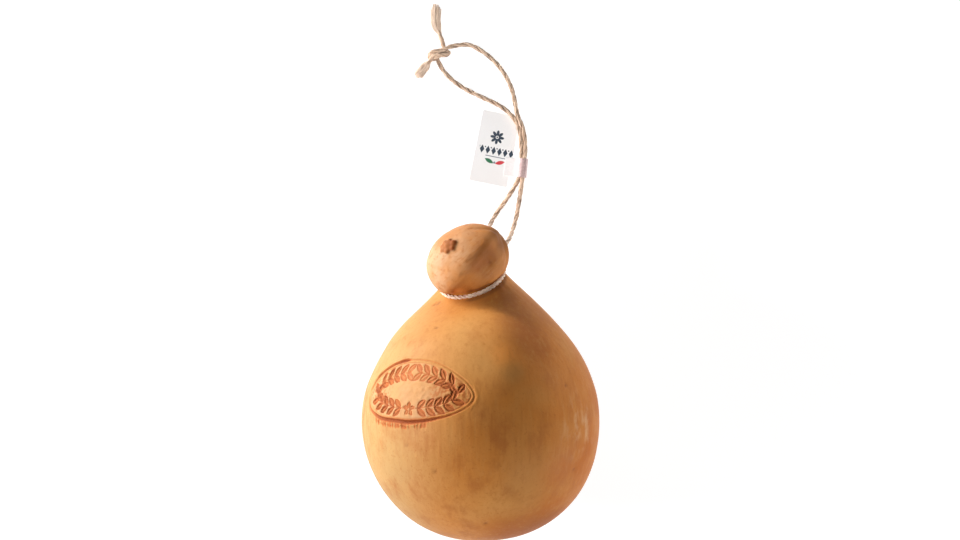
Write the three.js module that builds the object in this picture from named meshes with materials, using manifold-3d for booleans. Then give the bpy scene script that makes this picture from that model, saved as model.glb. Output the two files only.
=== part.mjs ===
// A provolone cheese lying on its side, with the twine it is hung by and a paper label on the twine.
// Millimetres, +Z up. +Y runs from the cheese's round base to its tied neck, and the origin is on the floor
// under the middle of the cheese.
import Module from 'manifold-3d';
import * as THREE from 'three';
import { mergeVertices } from 'three/addons/utils/BufferGeometryUtils.js';

const wasm = await Module();
wasm.setup();

// ---- Driving dimensions -------------------------------------------------------------------------

// The body is a round base below its widest section and a shoulder that runs up to the neck.
const BELLY_RADIUS = 80;
const BASE_LENGTH = 82;
const BASE_FULLNESS = 2.05; // 2 is an ellipse, more is squarer
const SHOULDER_LENGTH = 94.7;
const SHOULDER_ROUND = 55.3; // how far the belly's curve reaches up the shoulder
const SHOULDER_NECK = [87, 21.6]; // distance and radius that the shoulder aims at before the neck
const NECK_RADIUS = 21.6;

// The body's axis lies along Y with its neck end a little low, over the spot that it rests on.
const BELLY_CENTRE = new THREE.Vector3(0, -25.4, 78);
const PITCH = THREE.MathUtils.degToRad(5);

// Towards the neck the body's sections lean until they lie square to the neck.
const LEAN_START = 30;
const NECK_LEAN = THREE.MathUtils.degToRad(39);
const LEAN_TOWARDS = new THREE.Vector3(-0.475, 0, 0.88).normalize();
const LEAN_GROWTH = 2.4; // how late the sections start to lean
const LEAN_SHIFT = 0.85; // share of a leaning section's reach that its centre moves back

// The body isn't quite round. Each swelling has its distance along the body, its angle round it from
// the top towards +X, its height and its spread.
const SWELLINGS = [
  [-62, Math.PI / 2, 2.4, 26],
  [82, Math.PI / 2, -1.4, 14],
  [68, -Math.PI / 2, 1.2, 12],
  [40, -Math.PI / 2, -0.8, 12],
  [52, Math.PI / 2, 1.0, 18],
];
const BASE_STEPS = 13;
const SHOULDER_STEPS = 12;
const ROUND_STEPS = 48;
const FLOOR_CUT = [200, 300, 40]; // a block that takes off what is below the floor

// The head above the neck is an uneven ball with a small button on it.
const HEAD_CENTRE = new THREE.Vector3(-8.7, 82.3, 92.5);
const HEAD_SEMI_AXES = [28.9, 22, 25]; // sideways, along its own axis, through its thickness
const HEAD_STEPS = [30, 18];
const HEAD_SIDE = new THREE.Vector3(0.9, 0.436, 0);
const HEAD_AXIS_RISE = THREE.MathUtils.degToRad(50);
const HEAD_CLEARS_RING = 2.8; // how far above the ring's middle the head starts
const BUTTON_TOWARDS = new THREE.Vector3(-0.6, 0.43, 0.68).normalize();
const BUTTON_REACH = [2.7, 2.2]; // how far its lobes sit from its middle, across and up
const BUTTON_LOBE = 2.7;
const BUTTON_LOBE_SHIFTS = [0.9, 1.3, 0.9, 1.3]; // how far each lobe of the circle stands out
const BUTTON_MIDDLE_SHIFT = 1.9;
const BUTTON_TURN = 0.3;
const BUTTON_STEPS = [12, 8];

// Two turns of twine sit in a groove round the neck.
const TWINE = 3.2;
const TURN_PITCH = 2.7; // the turns press into each other
const RING_RADIUS = 22.6;
const RING_HALF_HEIGHT = (TURN_PITCH + TWINE) / 2;
const RING_SEGMENTS = 40;
const TURN_STEPS = 7;
const GAP = 0.3;
const GROOVE_CORNER = 1.1;
const GROOVE_DEPTH = 14.4; // the groove is open outwards, well past the cheese
const NECK_BELOW = 5; // how far the neck's column reaches each way from the twine's middle
const NECK_ABOVE = 15;

// The oval stamp is a groove pressed into the body.
const STAMP_ANGLE = THREE.MathUtils.degToRad(-35.6); // round the body from its top
const STAMP_HEIGHT = 16.3; // along the body from its widest section
const STAMP_SEMI_AXES = [46, 20.6];
const STAMP_GROOVE = 1.1;
const STAMP_POINTS = 56;
const STAMP_SIDES = 6;
const STAMP_STEP = 5;
const STAMP_OPENING = THREE.MathUtils.degToRad(16); // where the groove has a gap, at its outer end

// The twine's routes, from the neck to the knot and on to the two cut ends.
const ROUTE_A = [
  [2.9, 88.1, 52.0], [4.0, 91.5, 46.2], [5.2, 95.2, 38.3], [6.0, 99.0, 29.0], [6.4, 102.8, 20.0],
  [6.9, 107.4, 11.3], [9.2, 111.9, 5.0], [12.4, 117.3, 2.0], [16.0, 122.2, 1.7], [19.5, 127.2, 1.65],
  [23.4, 133.2, 1.65], [26.8, 140.0, 1.65], [28.3, 146.4, 1.65], [28.8, 153.5, 1.65], [28.9, 160.5, 2.0],
  [28.5, 166.9, 2.5], [27.5, 174.0, 2.5], [25.8, 179.7, 2.5], [22.0, 184.3, 2.5], [16.0, 190.3, 2.1],
  [6.8, 195.3, 1.65], [-3.9, 200.3, 1.65], [-13.1, 205.2, 1.65], [-21.6, 211.6, 1.65], [-26.6, 217.3, 1.65],
  [-29.3, 221.9, 1.9],
];
const ROUTE_B = [
  [6.9, 88.5, 53.8], [9.9, 89.9, 48.6], [13.5, 91.3, 41.5], [17.0, 93.4, 32.8], [19.6, 96.3, 23.5],
  [21.4, 100.0, 14.5], [22.9, 104.0, 7.8], [24.3, 108.6, 3.6], [25.6, 113.7, 1.9], [26.8, 120.1, 1.65],
  [28.0, 126.5, 1.65], [29.6, 134.3, 1.65], [31.2, 141.4, 1.65], [31.9, 147.8, 1.65], [32.4, 153.5, 1.65],
  [32.6, 160.5, 1.85], [32.4, 166.9, 2.5], [31.3, 173.9, 3.6], [29.2, 179.5, 5.4], [27.1, 185.2, 5.3],
  [25.2, 192.4, 2.6], [22.4, 203.1, 1.65], [17.4, 213.8, 1.65], [10.3, 223.0, 1.65], [-0.3, 231.5, 1.65],
  [-8.9, 235.2, 1.65], [-15.3, 235.9, 2.1], [-19.2, 234.5, 2.6],
];
const TAIL_UP = [
  [-26.7, 235.2, 2.9], [-28.3, 241.6, 2.4], [-30.6, 247.5, 2.4], [-31.9, 253.4, 2.4], [-31.5, 264.0, 2.4],
];
const TAIL_SIDE = [[-36.4, 222.9, 2.6], [-39.3, 219.3, 2.6], [-43.2, 214.4, 2.6]];
const TAIL = 4.6; // the cut ends have opened out
const STRAND_SIDES = 8;
const STRAND_STEP = 7.5;

const LOOP_KNOT = { centre: [-28, 228.6, 3.5], semiAxes: [8.2, 4.9, 3.5], steps: [18, 12] };
const LOOP_KNOT_TURN = THREE.MathUtils.degToRad(12);
const NECK_KNOT = { semiAxes: [5.6, 4.4, 3.0], steps: [14, 10] };
const NECK_KNOT_ANGLE = THREE.MathUtils.degToRad(-62); // round the ring from its side towards the top

// The label is a card lying on the floor, with a tab that goes over both strands of twine.
const CARD = { corner: [-7.0, 140.4], width: 29.4, height: 50.3, thick: 0.45, round: 1.2 };
const CARD_TURN = THREE.MathUtils.degToRad(-11.5);
const CARD_ROUND_STEPS = 3;
const BAND = { centre: [29.5, 142.6], length: 13.2 };
const BAND_TURN = THREE.MathUtils.degToRad(-5.4);
const BAND_INSIDE = [4.0, 3.7]; // half width and height of the space for the twine
const BAND_SQUARE = 0.75; // under 1 makes the arch's shoulders fuller than an ellipse's
const BAND_STEPS = 10;
const BAND_TAB = 10; // how far the tab reaches back over the card's edge
const BAND_FOOT = 1.6;

// ---- Finishes -----------------------------------------------------------------------------------

const rind = new THREE.MeshStandardMaterial({ color: 0xd9a05b, roughness: 0.5, metalness: 0 });
const twine = new THREE.MeshStandardMaterial({ color: 0xcdb497, roughness: 0.9, metalness: 0 });
const neckTwine = new THREE.MeshStandardMaterial({ color: 0xe8d5c2, roughness: 0.9, metalness: 0 });
const paper = new THREE.MeshStandardMaterial({ color: 0xf6f3f0, roughness: 0.6, metalness: 0 });

// ---- Solids -------------------------------------------------------------------------------------

const WELD = 1e-4;

/** A closed three.js geometry as a manifold-3d solid. */
function solid(geometry) {
  const bare = new THREE.BufferGeometry();
  const flat = geometry.index ? geometry.toNonIndexed() : geometry;
  bare.setAttribute('position', flat.getAttribute('position'));
  const merged = mergeVertices(bare, WELD);
  const corners = merged.index.array;
  const triVerts = [];
  for (let i = 0; i < corners.length; i += 3) {
    const [a, b, c] = corners.slice(i, i + 3);
    if (a !== b && b !== c && c !== a) triVerts.push(a, b, c);
  }
  return new wasm.Manifold(new wasm.Mesh({
    numProp: 3,
    vertProperties: new Float32Array(merged.getAttribute('position').array),
    triVerts: new Uint32Array(triVerts),
  }));
}

/** A manifold-3d solid as a three.js geometry with flat-shaded faces. */
function geometryOf(made) {
  const mesh = made.getMesh();
  const geometry = new THREE.BufferGeometry();
  geometry.setAttribute('position', new THREE.BufferAttribute(new Float32Array(mesh.vertProperties), 3));
  geometry.setIndex(new THREE.BufferAttribute(new Uint32Array(mesh.triVerts), 1));
  const flat = geometry.toNonIndexed();
  flat.computeVertexNormals();
  return flat;
}

/** Three unit vectors as a rotation. */
function turned(x, y, z) {
  return new THREE.Matrix4().makeBasis(x, y, z);
}

/** A ball of radius 1, stretched to three semi-axes. */
function ball(semiAxes, steps) {
  return new THREE.SphereGeometry(1, ...steps).scale(...semiAxes);
}

/** A closed tube of round section along a list of points. */
function tube(points, diameter, sides, step) {
  const path = new THREE.CatmullRomCurve3(points.map((p) => new THREE.Vector3(...p)), false, 'centripetal');
  const section = new THREE.Shape();
  for (let i = 0; i < sides; i += 1) {
    const angle = (2 * Math.PI * i) / sides;
    const corner = [(diameter / 2) * Math.cos(angle), (diameter / 2) * Math.sin(angle)];
    if (i === 0) section.moveTo(...corner);
    else section.lineTo(...corner);
  }
  section.closePath();
  const steps = Math.max(2, Math.round(path.getLength() / step));
  return new THREE.ExtrudeGeometry(section, { steps, extrudePath: path, curveSegments: 1 });
}

// ---- The body of the cheese ---------------------------------------------------------------------

const shoulder = new THREE.CubicBezierCurve(
  new THREE.Vector2(0, BELLY_RADIUS),
  new THREE.Vector2(SHOULDER_ROUND, BELLY_RADIUS),
  new THREE.Vector2(...SHOULDER_NECK),
  new THREE.Vector2(SHOULDER_LENGTH, NECK_RADIUS),
);

/** The body's outline, from the base's pole to the neck and in to the axis. */
function bodyProfile() {
  const outline = [];
  for (let i = 0; i <= BASE_STEPS; i += 1) {
    const angle = (Math.PI / 2) * (1 - i / BASE_STEPS);
    const along = -BASE_LENGTH * Math.sin(angle) ** (2 / BASE_FULLNESS);
    const radius = i === 0 ? 0 : BELLY_RADIUS * Math.cos(angle) ** (2 / BASE_FULLNESS);
    outline.push(new THREE.Vector2(radius, along));
  }
  for (let i = 1; i <= SHOULDER_STEPS; i += 1) {
    const point = shoulder.getPoint(i / SHOULDER_STEPS);
    outline.push(new THREE.Vector2(point.y, point.x));
  }
  outline.push(new THREE.Vector2(0, SHOULDER_LENGTH));
  return outline;
}

/** The body's radius at a distance along its axis. */
function bodyRadius(along) {
  if (along <= 0) {
    return BELLY_RADIUS * (1 - (-along / BASE_LENGTH) ** BASE_FULLNESS) ** (1 / BASE_FULLNESS);
  }
  let low = 0;
  let high = 1;
  for (let i = 0; i < 30; i += 1) {
    const middle = (low + high) / 2;
    if (shoulder.getPoint(middle).x < along) low = middle;
    else high = middle;
  }
  return shoulder.getPoint(low).y;
}

/** How far the body's skin stands out from a round one. */
function swelling(along, round) {
  let height = 0;
  for (const [centre, angle, most, spread] of SWELLINGS) {
    const across = 2 * Math.sin((round - angle) / 2) * bodyRadius(centre);
    height += most * Math.exp(-((Math.hypot(along - centre, across) / spread) ** 2) / 2);
  }
  return height;
}

const leanAxis = new THREE.Vector3(0, 1, 0).cross(LEAN_TOWARDS);

/** A point of the round upright body, carried to where the swollen and leaning body has it. */
function shaped(point) {
  const along = point.y;
  const radius = Math.max(Math.hypot(point.x, point.z), NECK_RADIUS);
  const swell = 1 + swelling(along, Math.atan2(point.x, point.z)) / radius;
  const reach = (along - LEAN_START) / (SHOULDER_LENGTH - LEAN_START);
  const angle = NECK_LEAN * THREE.MathUtils.clamp(reach, 0, 1) ** LEAN_GROWTH;
  const shift = LEAN_SHIFT * bodyRadius(Math.min(along, SHOULDER_LENGTH)) * Math.sin(angle);
  const section = new THREE.Vector3(point.x * swell, 0, point.z * swell).applyAxisAngle(leanAxis, angle);
  return section.addScaledVector(LEAN_TOWARDS, shift).add(new THREE.Vector3(0, along, 0));
}

// Carries the upright body, whose axis is Y through the belly's centre, to where it lies.
const lay = new THREE.Matrix4().makeRotationX(-PITCH).setPosition(BELLY_CENTRE);

/** A point on the body's skin, in the part's frame. */
function skinPoint(along, round) {
  const radius = bodyRadius(along);
  const point = new THREE.Vector3(radius * Math.sin(round), along, radius * Math.cos(round));
  return shaped(point).applyMatrix4(lay);
}

const neckCentre = shaped(new THREE.Vector3(0, SHOULDER_LENGTH, 0)).applyMatrix4(lay);
const neckDirection = new THREE.Vector3(0, 1, 0)
  .applyAxisAngle(leanAxis, NECK_LEAN)
  .transformDirection(lay);

function makeBody() {
  const geometry = new THREE.LatheGeometry(bodyProfile(), ROUND_STEPS);
  const places = geometry.getAttribute('position');
  for (let i = 0; i < places.count; i += 1) {
    const moved = shaped(new THREE.Vector3().fromBufferAttribute(places, i));
    places.setXYZ(i, moved.x, moved.y, moved.z);
  }
  return solid(geometry.applyMatrix4(lay));
}

// ---- The neck and the head ----------------------------------------------------------------------

// Square to the neck, neckSide is level and towards +X, and neckFront is towards the ring's highest place.
const neckSide = new THREE.Vector3(neckDirection.y, -neckDirection.x, 0).normalize();
const neckFront = new THREE.Vector3().crossVectors(neckSide, neckDirection);
const neckTurn = turned(neckSide, neckDirection, neckFront);
const neckPlace = neckTurn.clone().setPosition(neckCentre);

const headSide = HEAD_SIDE.clone().normalize();
const headAxis = new THREE.Vector3(-headSide.y, headSide.x, 0)
  .multiplyScalar(Math.cos(HEAD_AXIS_RISE))
  .add(new THREE.Vector3(0, 0, Math.sin(HEAD_AXIS_RISE)));
const headThick = new THREE.Vector3().crossVectors(headSide, headAxis);
const headTurn = turned(headSide, headAxis, headThick);

/** The head's skin in a direction from its centre. */
function headPoint(direction) {
  const local = direction.clone().applyMatrix4(headTurn.clone().transpose());
  const [a, b, c] = HEAD_SEMI_AXES;
  const reach = 1 / Math.hypot(local.x / a, local.y / b, local.z / c);
  return HEAD_CENTRE.clone().addScaledVector(direction, reach);
}

/** The head, cut off square where it meets the twine so that none of it reaches over the groove. */
function makeHead() {
  const head = ball(HEAD_SEMI_AXES, HEAD_STEPS).applyMatrix4(headTurn.clone().setPosition(HEAD_CENTRE));
  const reach = 2 * HEAD_SEMI_AXES[0];
  const underside = new THREE.CylinderGeometry(reach, reach, reach, RING_SEGMENTS);
  underside.translate(0, HEAD_CLEARS_RING - reach / 2, 0).applyMatrix4(neckPlace);
  return solid(head).subtract(solid(underside));
}

/** The button: lobes set in a circle on the head, where the curd was twisted off. */
function makeButton() {
  const seat = headPoint(BUTTON_TOWARDS);
  const across = new THREE.Vector3(0, 0, 1).cross(BUTTON_TOWARDS).normalize();
  const up = new THREE.Vector3().crossVectors(BUTTON_TOWARDS, across);
  const lobe = (sideways, upwards, outwards) => {
    const centre = seat
      .clone()
      .addScaledVector(across, sideways)
      .addScaledVector(up, upwards)
      .addScaledVector(BUTTON_TOWARDS, outwards);
    return solid(new THREE.SphereGeometry(BUTTON_LOBE, ...BUTTON_STEPS).translate(...centre));
  };
  const middle = lobe(0, 0, BUTTON_MIDDLE_SHIFT);
  return BUTTON_LOBE_SHIFTS.reduce((button, shift, i) => {
    const angle = (2 * Math.PI * (i + BUTTON_TURN)) / BUTTON_LOBE_SHIFTS.length;
    return button.add(lobe(BUTTON_REACH[0] * Math.cos(angle), BUTTON_REACH[1] * Math.sin(angle), shift));
  }, middle);
}

/** The short column that joins the body to the head. */
function makeNeck() {
  const height = NECK_BELOW + NECK_ABOVE;
  const column = new THREE.CylinderGeometry(NECK_RADIUS, NECK_RADIUS, height, RING_SEGMENTS);
  column.translate(0, height / 2 - NECK_BELOW, 0);
  return solid(column.applyMatrix4(neckPlace));
}

/** The section of the ring of twine: two round turns pressed together, closing on itself. */
function ringProfile() {
  const radius = TWINE / 2;
  const outline = [];
  // Each turn's circle is drawn between the two points where it meets the other one.
  const meet = Math.acos(TURN_PITCH / 2 / radius);
  for (const turn of [-1, 1]) {
    for (let i = 0; i < TURN_STEPS; i += 1) {
      const angle = -turn * (Math.PI / 2) + meet + (2 * (Math.PI - meet) * i) / TURN_STEPS;
      outline.push(new THREE.Vector2(
        RING_RADIUS + radius * Math.cos(angle),
        (turn * TURN_PITCH) / 2 + radius * Math.sin(angle),
      ));
    }
  }
  outline.push(outline[0].clone());
  return outline;
}

/** The section of the groove for the ring, with its inner corners cut off. */
function grooveProfile() {
  const inside = RING_RADIUS - TWINE / 2 - GAP;
  const half = RING_HALF_HEIGHT + GAP;
  const past = inside + GROOVE_CORNER;
  const outside = inside + GROOVE_DEPTH;
  const outline = [
    [inside, -half + GROOVE_CORNER], [past, -half], [outside, -half],
    [outside, half], [past, half], [inside, half - GROOVE_CORNER], [inside, -half + GROOVE_CORNER],
  ];
  return outline.map(([radius, height]) => new THREE.Vector2(radius, height));
}

function makeStampGroove() {
  const points = [];
  for (let i = 0; i <= STAMP_POINTS; i += 1) {
    const angle = Math.PI + STAMP_OPENING / 2 + ((2 * Math.PI - STAMP_OPENING) * i) / STAMP_POINTS;
    const round = STAMP_ANGLE + (STAMP_SEMI_AXES[0] * Math.cos(angle)) / BELLY_RADIUS;
    const along = STAMP_HEIGHT + STAMP_SEMI_AXES[1] * Math.sin(angle);
    points.push(skinPoint(along, round).toArray());
  }
  return solid(tube(points, 2 * STAMP_GROOVE, STAMP_SIDES, STAMP_STEP));
}

function makeCheese() {
  const floorCut = new THREE.BoxGeometry(...FLOOR_CUT).translate(0, 0, -FLOOR_CUT[2] / 2);
  const groove = new THREE.LatheGeometry(grooveProfile(), RING_SEGMENTS).applyMatrix4(neckPlace);
  const cheese = makeBody()
    .add(makeNeck())
    .add(makeHead())
    .add(makeButton())
    .subtract(solid(groove))
    .subtract(makeStampGroove())
    .subtract(solid(floorCut));
  return new THREE.Mesh(geometryOf(cheese), rind);
}

// ---- The twine ----------------------------------------------------------------------------------

function makeNeckWrap() {
  const wrap = new THREE.Mesh(new THREE.LatheGeometry(ringProfile(), RING_SEGMENTS), neckTwine);
  wrap.quaternion.setFromRotationMatrix(neckTurn);
  wrap.position.copy(neckCentre);
  return wrap;
}

function makeNeckKnot() {
  const { semiAxes, steps } = NECK_KNOT;
  const outward = neckSide
    .clone()
    .multiplyScalar(Math.cos(NECK_KNOT_ANGLE))
    .addScaledVector(neckFront, Math.sin(NECK_KNOT_ANGLE));
  const along = new THREE.Vector3().crossVectors(outward, neckDirection);
  const knot = new THREE.Mesh(ball(semiAxes, steps), neckTwine);
  knot.quaternion.setFromRotationMatrix(turned(along, outward, neckDirection));
  knot.position.copy(neckCentre).addScaledVector(outward, RING_RADIUS + TWINE / 2 + GAP + semiAxes[1]);
  return knot;
}

function makeLoopKnot() {
  const { centre, semiAxes, steps } = LOOP_KNOT;
  const knot = new THREE.Mesh(ball(semiAxes, steps), twine);
  knot.rotation.z = LOOP_KNOT_TURN;
  knot.position.set(...centre);
  return knot;
}

function makeStrand(route, diameter) {
  return new THREE.Mesh(tube(route, diameter, STRAND_SIDES, STRAND_STEP), twine);
}

// ---- The label -------------------------------------------------------------------------------------

/** The card, lying flat with its lower left corner at the origin and its height along +Y. */
function cardGeometry() {
  const { width, height, thick, round } = CARD;
  const corners = [[width, 0], [width, height], [0, height], [0, 0]];
  const outline = new THREE.Shape().moveTo(round, 0);
  corners.forEach(([x, y], i) => {
    const quarter = (i * Math.PI) / 2;
    const inX = x === 0 ? round : x - round;
    const inY = y === 0 ? round : y - round;
    outline.absarc(inX, inY, round, quarter - Math.PI / 2, quarter);
  });
  const options = { depth: thick, bevelEnabled: false, curveSegments: CARD_ROUND_STEPS };
  return new THREE.ExtrudeGeometry(outline, options);
}

/** A point of the band's arch, which is the space for the twine grown outwards. */
function archPoint(grow, angle) {
  const [half, rise] = BAND_INSIDE;
  const across = Math.sign(Math.cos(angle)) * Math.abs(Math.cos(angle)) ** BAND_SQUARE;
  return [(half + grow) * across, (rise + grow) * Math.sin(angle) ** BAND_SQUARE];
}

/** The tab and its arch over the twine, which runs along +Y from the origin. */
function bandGeometry() {
  const half = BAND_INSIDE[0];
  const { thick } = CARD;
  const outline = new THREE.Shape().moveTo(-half - BAND_TAB, 0);
  outline.lineTo(-half - BAND_TAB, thick);
  for (let i = 1; i < BAND_STEPS; i += 1) {
    outline.lineTo(...archPoint(thick, Math.PI * (1 - i / BAND_STEPS)));
  }
  outline.lineTo(half + thick + BAND_FOOT, thick);
  outline.lineTo(half + thick + BAND_FOOT, 0);
  for (let i = 0; i <= BAND_STEPS; i += 1) {
    outline.lineTo(...archPoint(0, (Math.PI * i) / BAND_STEPS));
  }
  outline.closePath();
  const band = new THREE.ExtrudeGeometry(outline, { depth: BAND.length, bevelEnabled: false });
  return band.rotateX(Math.PI / 2).translate(0, BAND.length, 0);
}

function makeLabel() {
  const card = cardGeometry().rotateZ(CARD_TURN).translate(...CARD.corner, 0);
  const band = bandGeometry().rotateZ(BAND_TURN).translate(...BAND.centre, 0);
  return new THREE.Mesh(geometryOf(solid(card).add(solid(band))), paper);
}

// ---- The whole ----------------------------------------------------------------------------------

const nodes = {
  cheese: makeCheese(),
  neck_wrap: makeNeckWrap(),
  neck_knot: makeNeckKnot(),
  twine_a: makeStrand(ROUTE_A, TWINE),
  twine_b: makeStrand(ROUTE_B, TWINE),
  loop_knot: makeLoopKnot(),
  tail_up: makeStrand(TAIL_UP, TAIL),
  tail_side: makeStrand(TAIL_SIDE, TAIL),
  tag: makeLabel(),
};

const provolone = new THREE.Group();
for (const [name, mesh] of Object.entries(nodes)) {
  mesh.name = name;
  provolone.add(mesh);
}

export default provolone;
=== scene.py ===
"""A hung provolone that lies on its side: its rind, pressed oval, twine, knots and paper label.

Metres, +Z up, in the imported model's frame. The sizes and places below repeat the model's own.
"""
import math
import random

import bmesh
import bpy
import numpy as np
from mathutils import Matrix, Vector, noise


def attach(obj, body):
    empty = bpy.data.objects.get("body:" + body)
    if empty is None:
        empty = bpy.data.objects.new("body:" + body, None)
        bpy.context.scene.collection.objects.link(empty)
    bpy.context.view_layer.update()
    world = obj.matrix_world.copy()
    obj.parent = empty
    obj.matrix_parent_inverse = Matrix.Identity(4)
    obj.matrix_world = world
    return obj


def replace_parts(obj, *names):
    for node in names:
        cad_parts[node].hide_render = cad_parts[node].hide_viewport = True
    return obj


# ---- Sizes and places ------------------------------------------------------------------------------

# The body: a round base below its widest section, and a shoulder that runs up to the neck.
BELLY_RADIUS = 0.080
BASE_LENGTH = 0.082
BASE_FULLNESS = 2.05
SHOULDER_LENGTH = 0.0947
SHOULDER_AIMS = ((0.0, 0.080), (0.0553, 0.080), (0.087, 0.0216), (0.0947, 0.0216))
NECK_RADIUS = 0.0216
BELLY_CENTRE = np.array([0.0, -0.0254, 0.078])
PITCH = math.radians(5)
BODY_MESH = 0.00178  # the usual edge of the body's mesh
BODY_TURN = 288

# Towards the neck the sections lean until they lie square to it.
LEAN_START = 0.030
NECK_LEAN = math.radians(39)
LEAN_TOWARDS = np.array([-0.475, 0, 0.88]) / math.hypot(0.475, 0.88)
LEAN_GROWTH = 2.4
LEAN_SHIFT = 0.85

# Each swelling: distance along the body, angle round it from the top towards +X, height, spread.
SWELLINGS = (
    (-0.062, math.pi / 2, 0.0024, 0.026),
    (0.082, math.pi / 2, -0.0014, 0.014),
    (0.068, -math.pi / 2, 0.0012, 0.012),
    (0.040, -math.pi / 2, -0.0008, 0.012),
    (0.052, math.pi / 2, 0.0010, 0.018),
)

# The head and its button.
HEAD_CENTRE = Vector((-0.0084, 0.0816, 0.0925))
HEAD_SEMI_AXES = (0.0285, 0.022, 0.025)
HEAD_SIDE = Vector((0.9, 0.436, 0))
HEAD_AXIS_RISE = math.radians(50)
HEAD_CUT = 0.0033  # above the ring's middle
HEAD_MESH = 0.00075
BUTTON_TOWARDS = Vector((-0.6, 0.43, 0.68)).normalized()
# Each lobe of the button: right, up, out from the head, radius.
BUTTON_LOBES = (
    (0.0000, 0.0000, -0.0042, 0.0060),
    (0.0002, 0.0002, 0.0002, 0.0020),
    (-0.0022, 0.0034, -0.0008, 0.0022),
    (0.0014, 0.0038, -0.0009, 0.0018),
    (0.0044, 0.0010, -0.0010, 0.0023),
    (0.0034, -0.0026, -0.0010, 0.0020),
    (-0.0004, -0.0037, -0.0006, 0.0024),
    (-0.0041, -0.0021, -0.0006, 0.0021),
    (-0.0048, 0.0012, -0.0007, 0.0018),
)

# The twine round the neck.
TWINE = 0.0032
NECK_TURN_PITCH = 0.0018
RING_RADIUS = 0.0226
GROOVE_DIP = 0.0009
GROOVE_REACH = 0.0024

# The pressed oval, on the body's skin.
STAMP_ANGLE = math.radians(-35.6)
STAMP_HEIGHT = 0.0174
STAMP_SEMI_AXES = (0.046, 0.0206)
STAMP_TURN = math.radians(-2.3)
STAMP_BOW = (0.0043, 0.0028)  # how far the left and the right end hang below the middle
STAMP_POINT = 1.75  # a plain oval has 2, and the right end is more pointed

# The twine's routes, from the neck to the loop's knot.
ROUTE_A = (
    (0.0029, 0.0881, 0.0520), (0.0040, 0.0915, 0.0462), (0.0052, 0.0952, 0.0383),
    (0.0060, 0.0990, 0.0290), (0.0064, 0.1028, 0.0200), (0.0069, 0.1074, 0.0113),
    (0.0092, 0.1119, 0.0050), (0.0124, 0.1173, 0.0020), (0.0160, 0.1222, 0.0017),
    (0.0195, 0.1272, 0.00165), (0.0233, 0.1332, 0.00165), (0.0270, 0.1400, 0.00165),
    (0.0285, 0.1464, 0.0019), (0.0291, 0.1535, 0.0021), (0.0291, 0.1605, 0.0021),
    (0.0287, 0.1669, 0.0021), (0.0278, 0.1735, 0.0021), (0.0259, 0.1793, 0.0021),
    (0.0227, 0.1842, 0.0021), (0.0170, 0.1896, 0.0019), (0.0082, 0.1947, 0.00165),
    (-0.0039, 0.2003, 0.00165), (-0.0131, 0.2052, 0.00165), (-0.0216, 0.2116, 0.00165),
    (-0.0266, 0.2173, 0.00165),
)
ROUTE_B = (
    (0.0069, 0.0885, 0.0538), (0.0099, 0.0899, 0.0486), (0.0135, 0.0913, 0.0415),
    (0.0170, 0.0934, 0.0328), (0.0196, 0.0963, 0.0235), (0.0214, 0.1000, 0.0145),
    (0.0229, 0.1040, 0.0078), (0.0243, 0.1086, 0.0036), (0.0256, 0.1137, 0.0019),
    (0.0267, 0.1201, 0.00165), (0.0278, 0.1265, 0.0019), (0.0289, 0.1343, 0.0027),
    (0.0298, 0.1414, 0.0041), (0.0305, 0.1478, 0.0043), (0.0312, 0.1535, 0.0036),
    (0.0317, 0.1605, 0.0027), (0.0315, 0.1669, 0.0025), (0.0305, 0.1739, 0.0030),
    (0.0284, 0.1800, 0.0036), (0.0262, 0.1855, 0.0030), (0.0248, 0.1924, 0.0020),
    (0.0224, 0.2031, 0.00165), (0.0174, 0.2138, 0.00165), (0.0103, 0.2230, 0.00165),
    (-0.0003, 0.2315, 0.00165), (-0.0089, 0.2352, 0.00165),
)
# Through the knot and on to the cut ends, from the knot's middle.
KNOT_CENTRE = Vector((-0.0277, 0.2294, 0))
KNOT_A = (
    (-0.0019, -0.0067, 0.0017), (-0.0032, -0.0028, 0.0017), (-0.0021, 0.0011, 0.0018),
    (0.0014, 0.0012, 0.0030), (0.0040, 0.0006, 0.0040), (0.0054, -0.0004, 0.0046),
    (0.0044, -0.0014, 0.0052), (0.0018, -0.0018, 0.0056), (-0.0022, -0.0014, 0.0056),
    (-0.0058, -0.0027, 0.0046), (-0.0082, -0.0058, 0.0032), (-0.0117, -0.0099, 0.0026),
    (-0.0158, -0.0152, 0.0026), (-0.0178, -0.0178, 0.0026),
)
KNOT_B = (
    (0.0060, 0.0043, 0.0020), (0.0028, 0.0024, 0.0050), (-0.0007, 0.0014, 0.0056),
    (-0.0043, 0.0010, 0.0052), (-0.0078, -0.0007, 0.0036), (-0.0085, -0.0030, 0.0018),
    (-0.0062, -0.0042, 0.0017), (-0.0026, -0.0034, 0.0050), (0.0002, -0.0007, 0.0030),
    (0.0018, 0.0026, 0.0018), (0.0012, 0.0058, 0.0018), (-0.0011, 0.0128, 0.0022),
    (-0.0036, 0.0190, 0.0026), (-0.0043, 0.0250, 0.0028), (-0.0039, 0.0350, 0.0028),
)
NECK_KNOT_SEMI_AXES = (0.0056, 0.0044, 0.0030)
NECK_KNOT_ANGLE = math.radians(-62)

# The label.
CARD_CORNER = Vector((-0.0081, 0.1394, 0))
CARD_WIDTH = 0.0272
PRINT_WIDTH = 0.0300
PRINT_MIDDLE = 0.45
CARD_HEIGHT = 0.0510
CARD_THICK = 0.00045
CARD_TURN = math.radians(-11.5)
CARD_ROUND = 0.0006
BAND_CENTRE = Vector((0.0292, 0.1410, 0))
BAND_LENGTH = 0.0135
BAND_TURN = math.radians(-5.5)
BAND_INSIDE = (0.0029, 0.0062)
BAND_SQUARE = 0.75
BAND_TAB = 0.010
BAND_FOOT = 0.0003
BAND_ACROSS = (math.cos(BAND_TURN), math.sin(BAND_TURN), 0)

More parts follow.
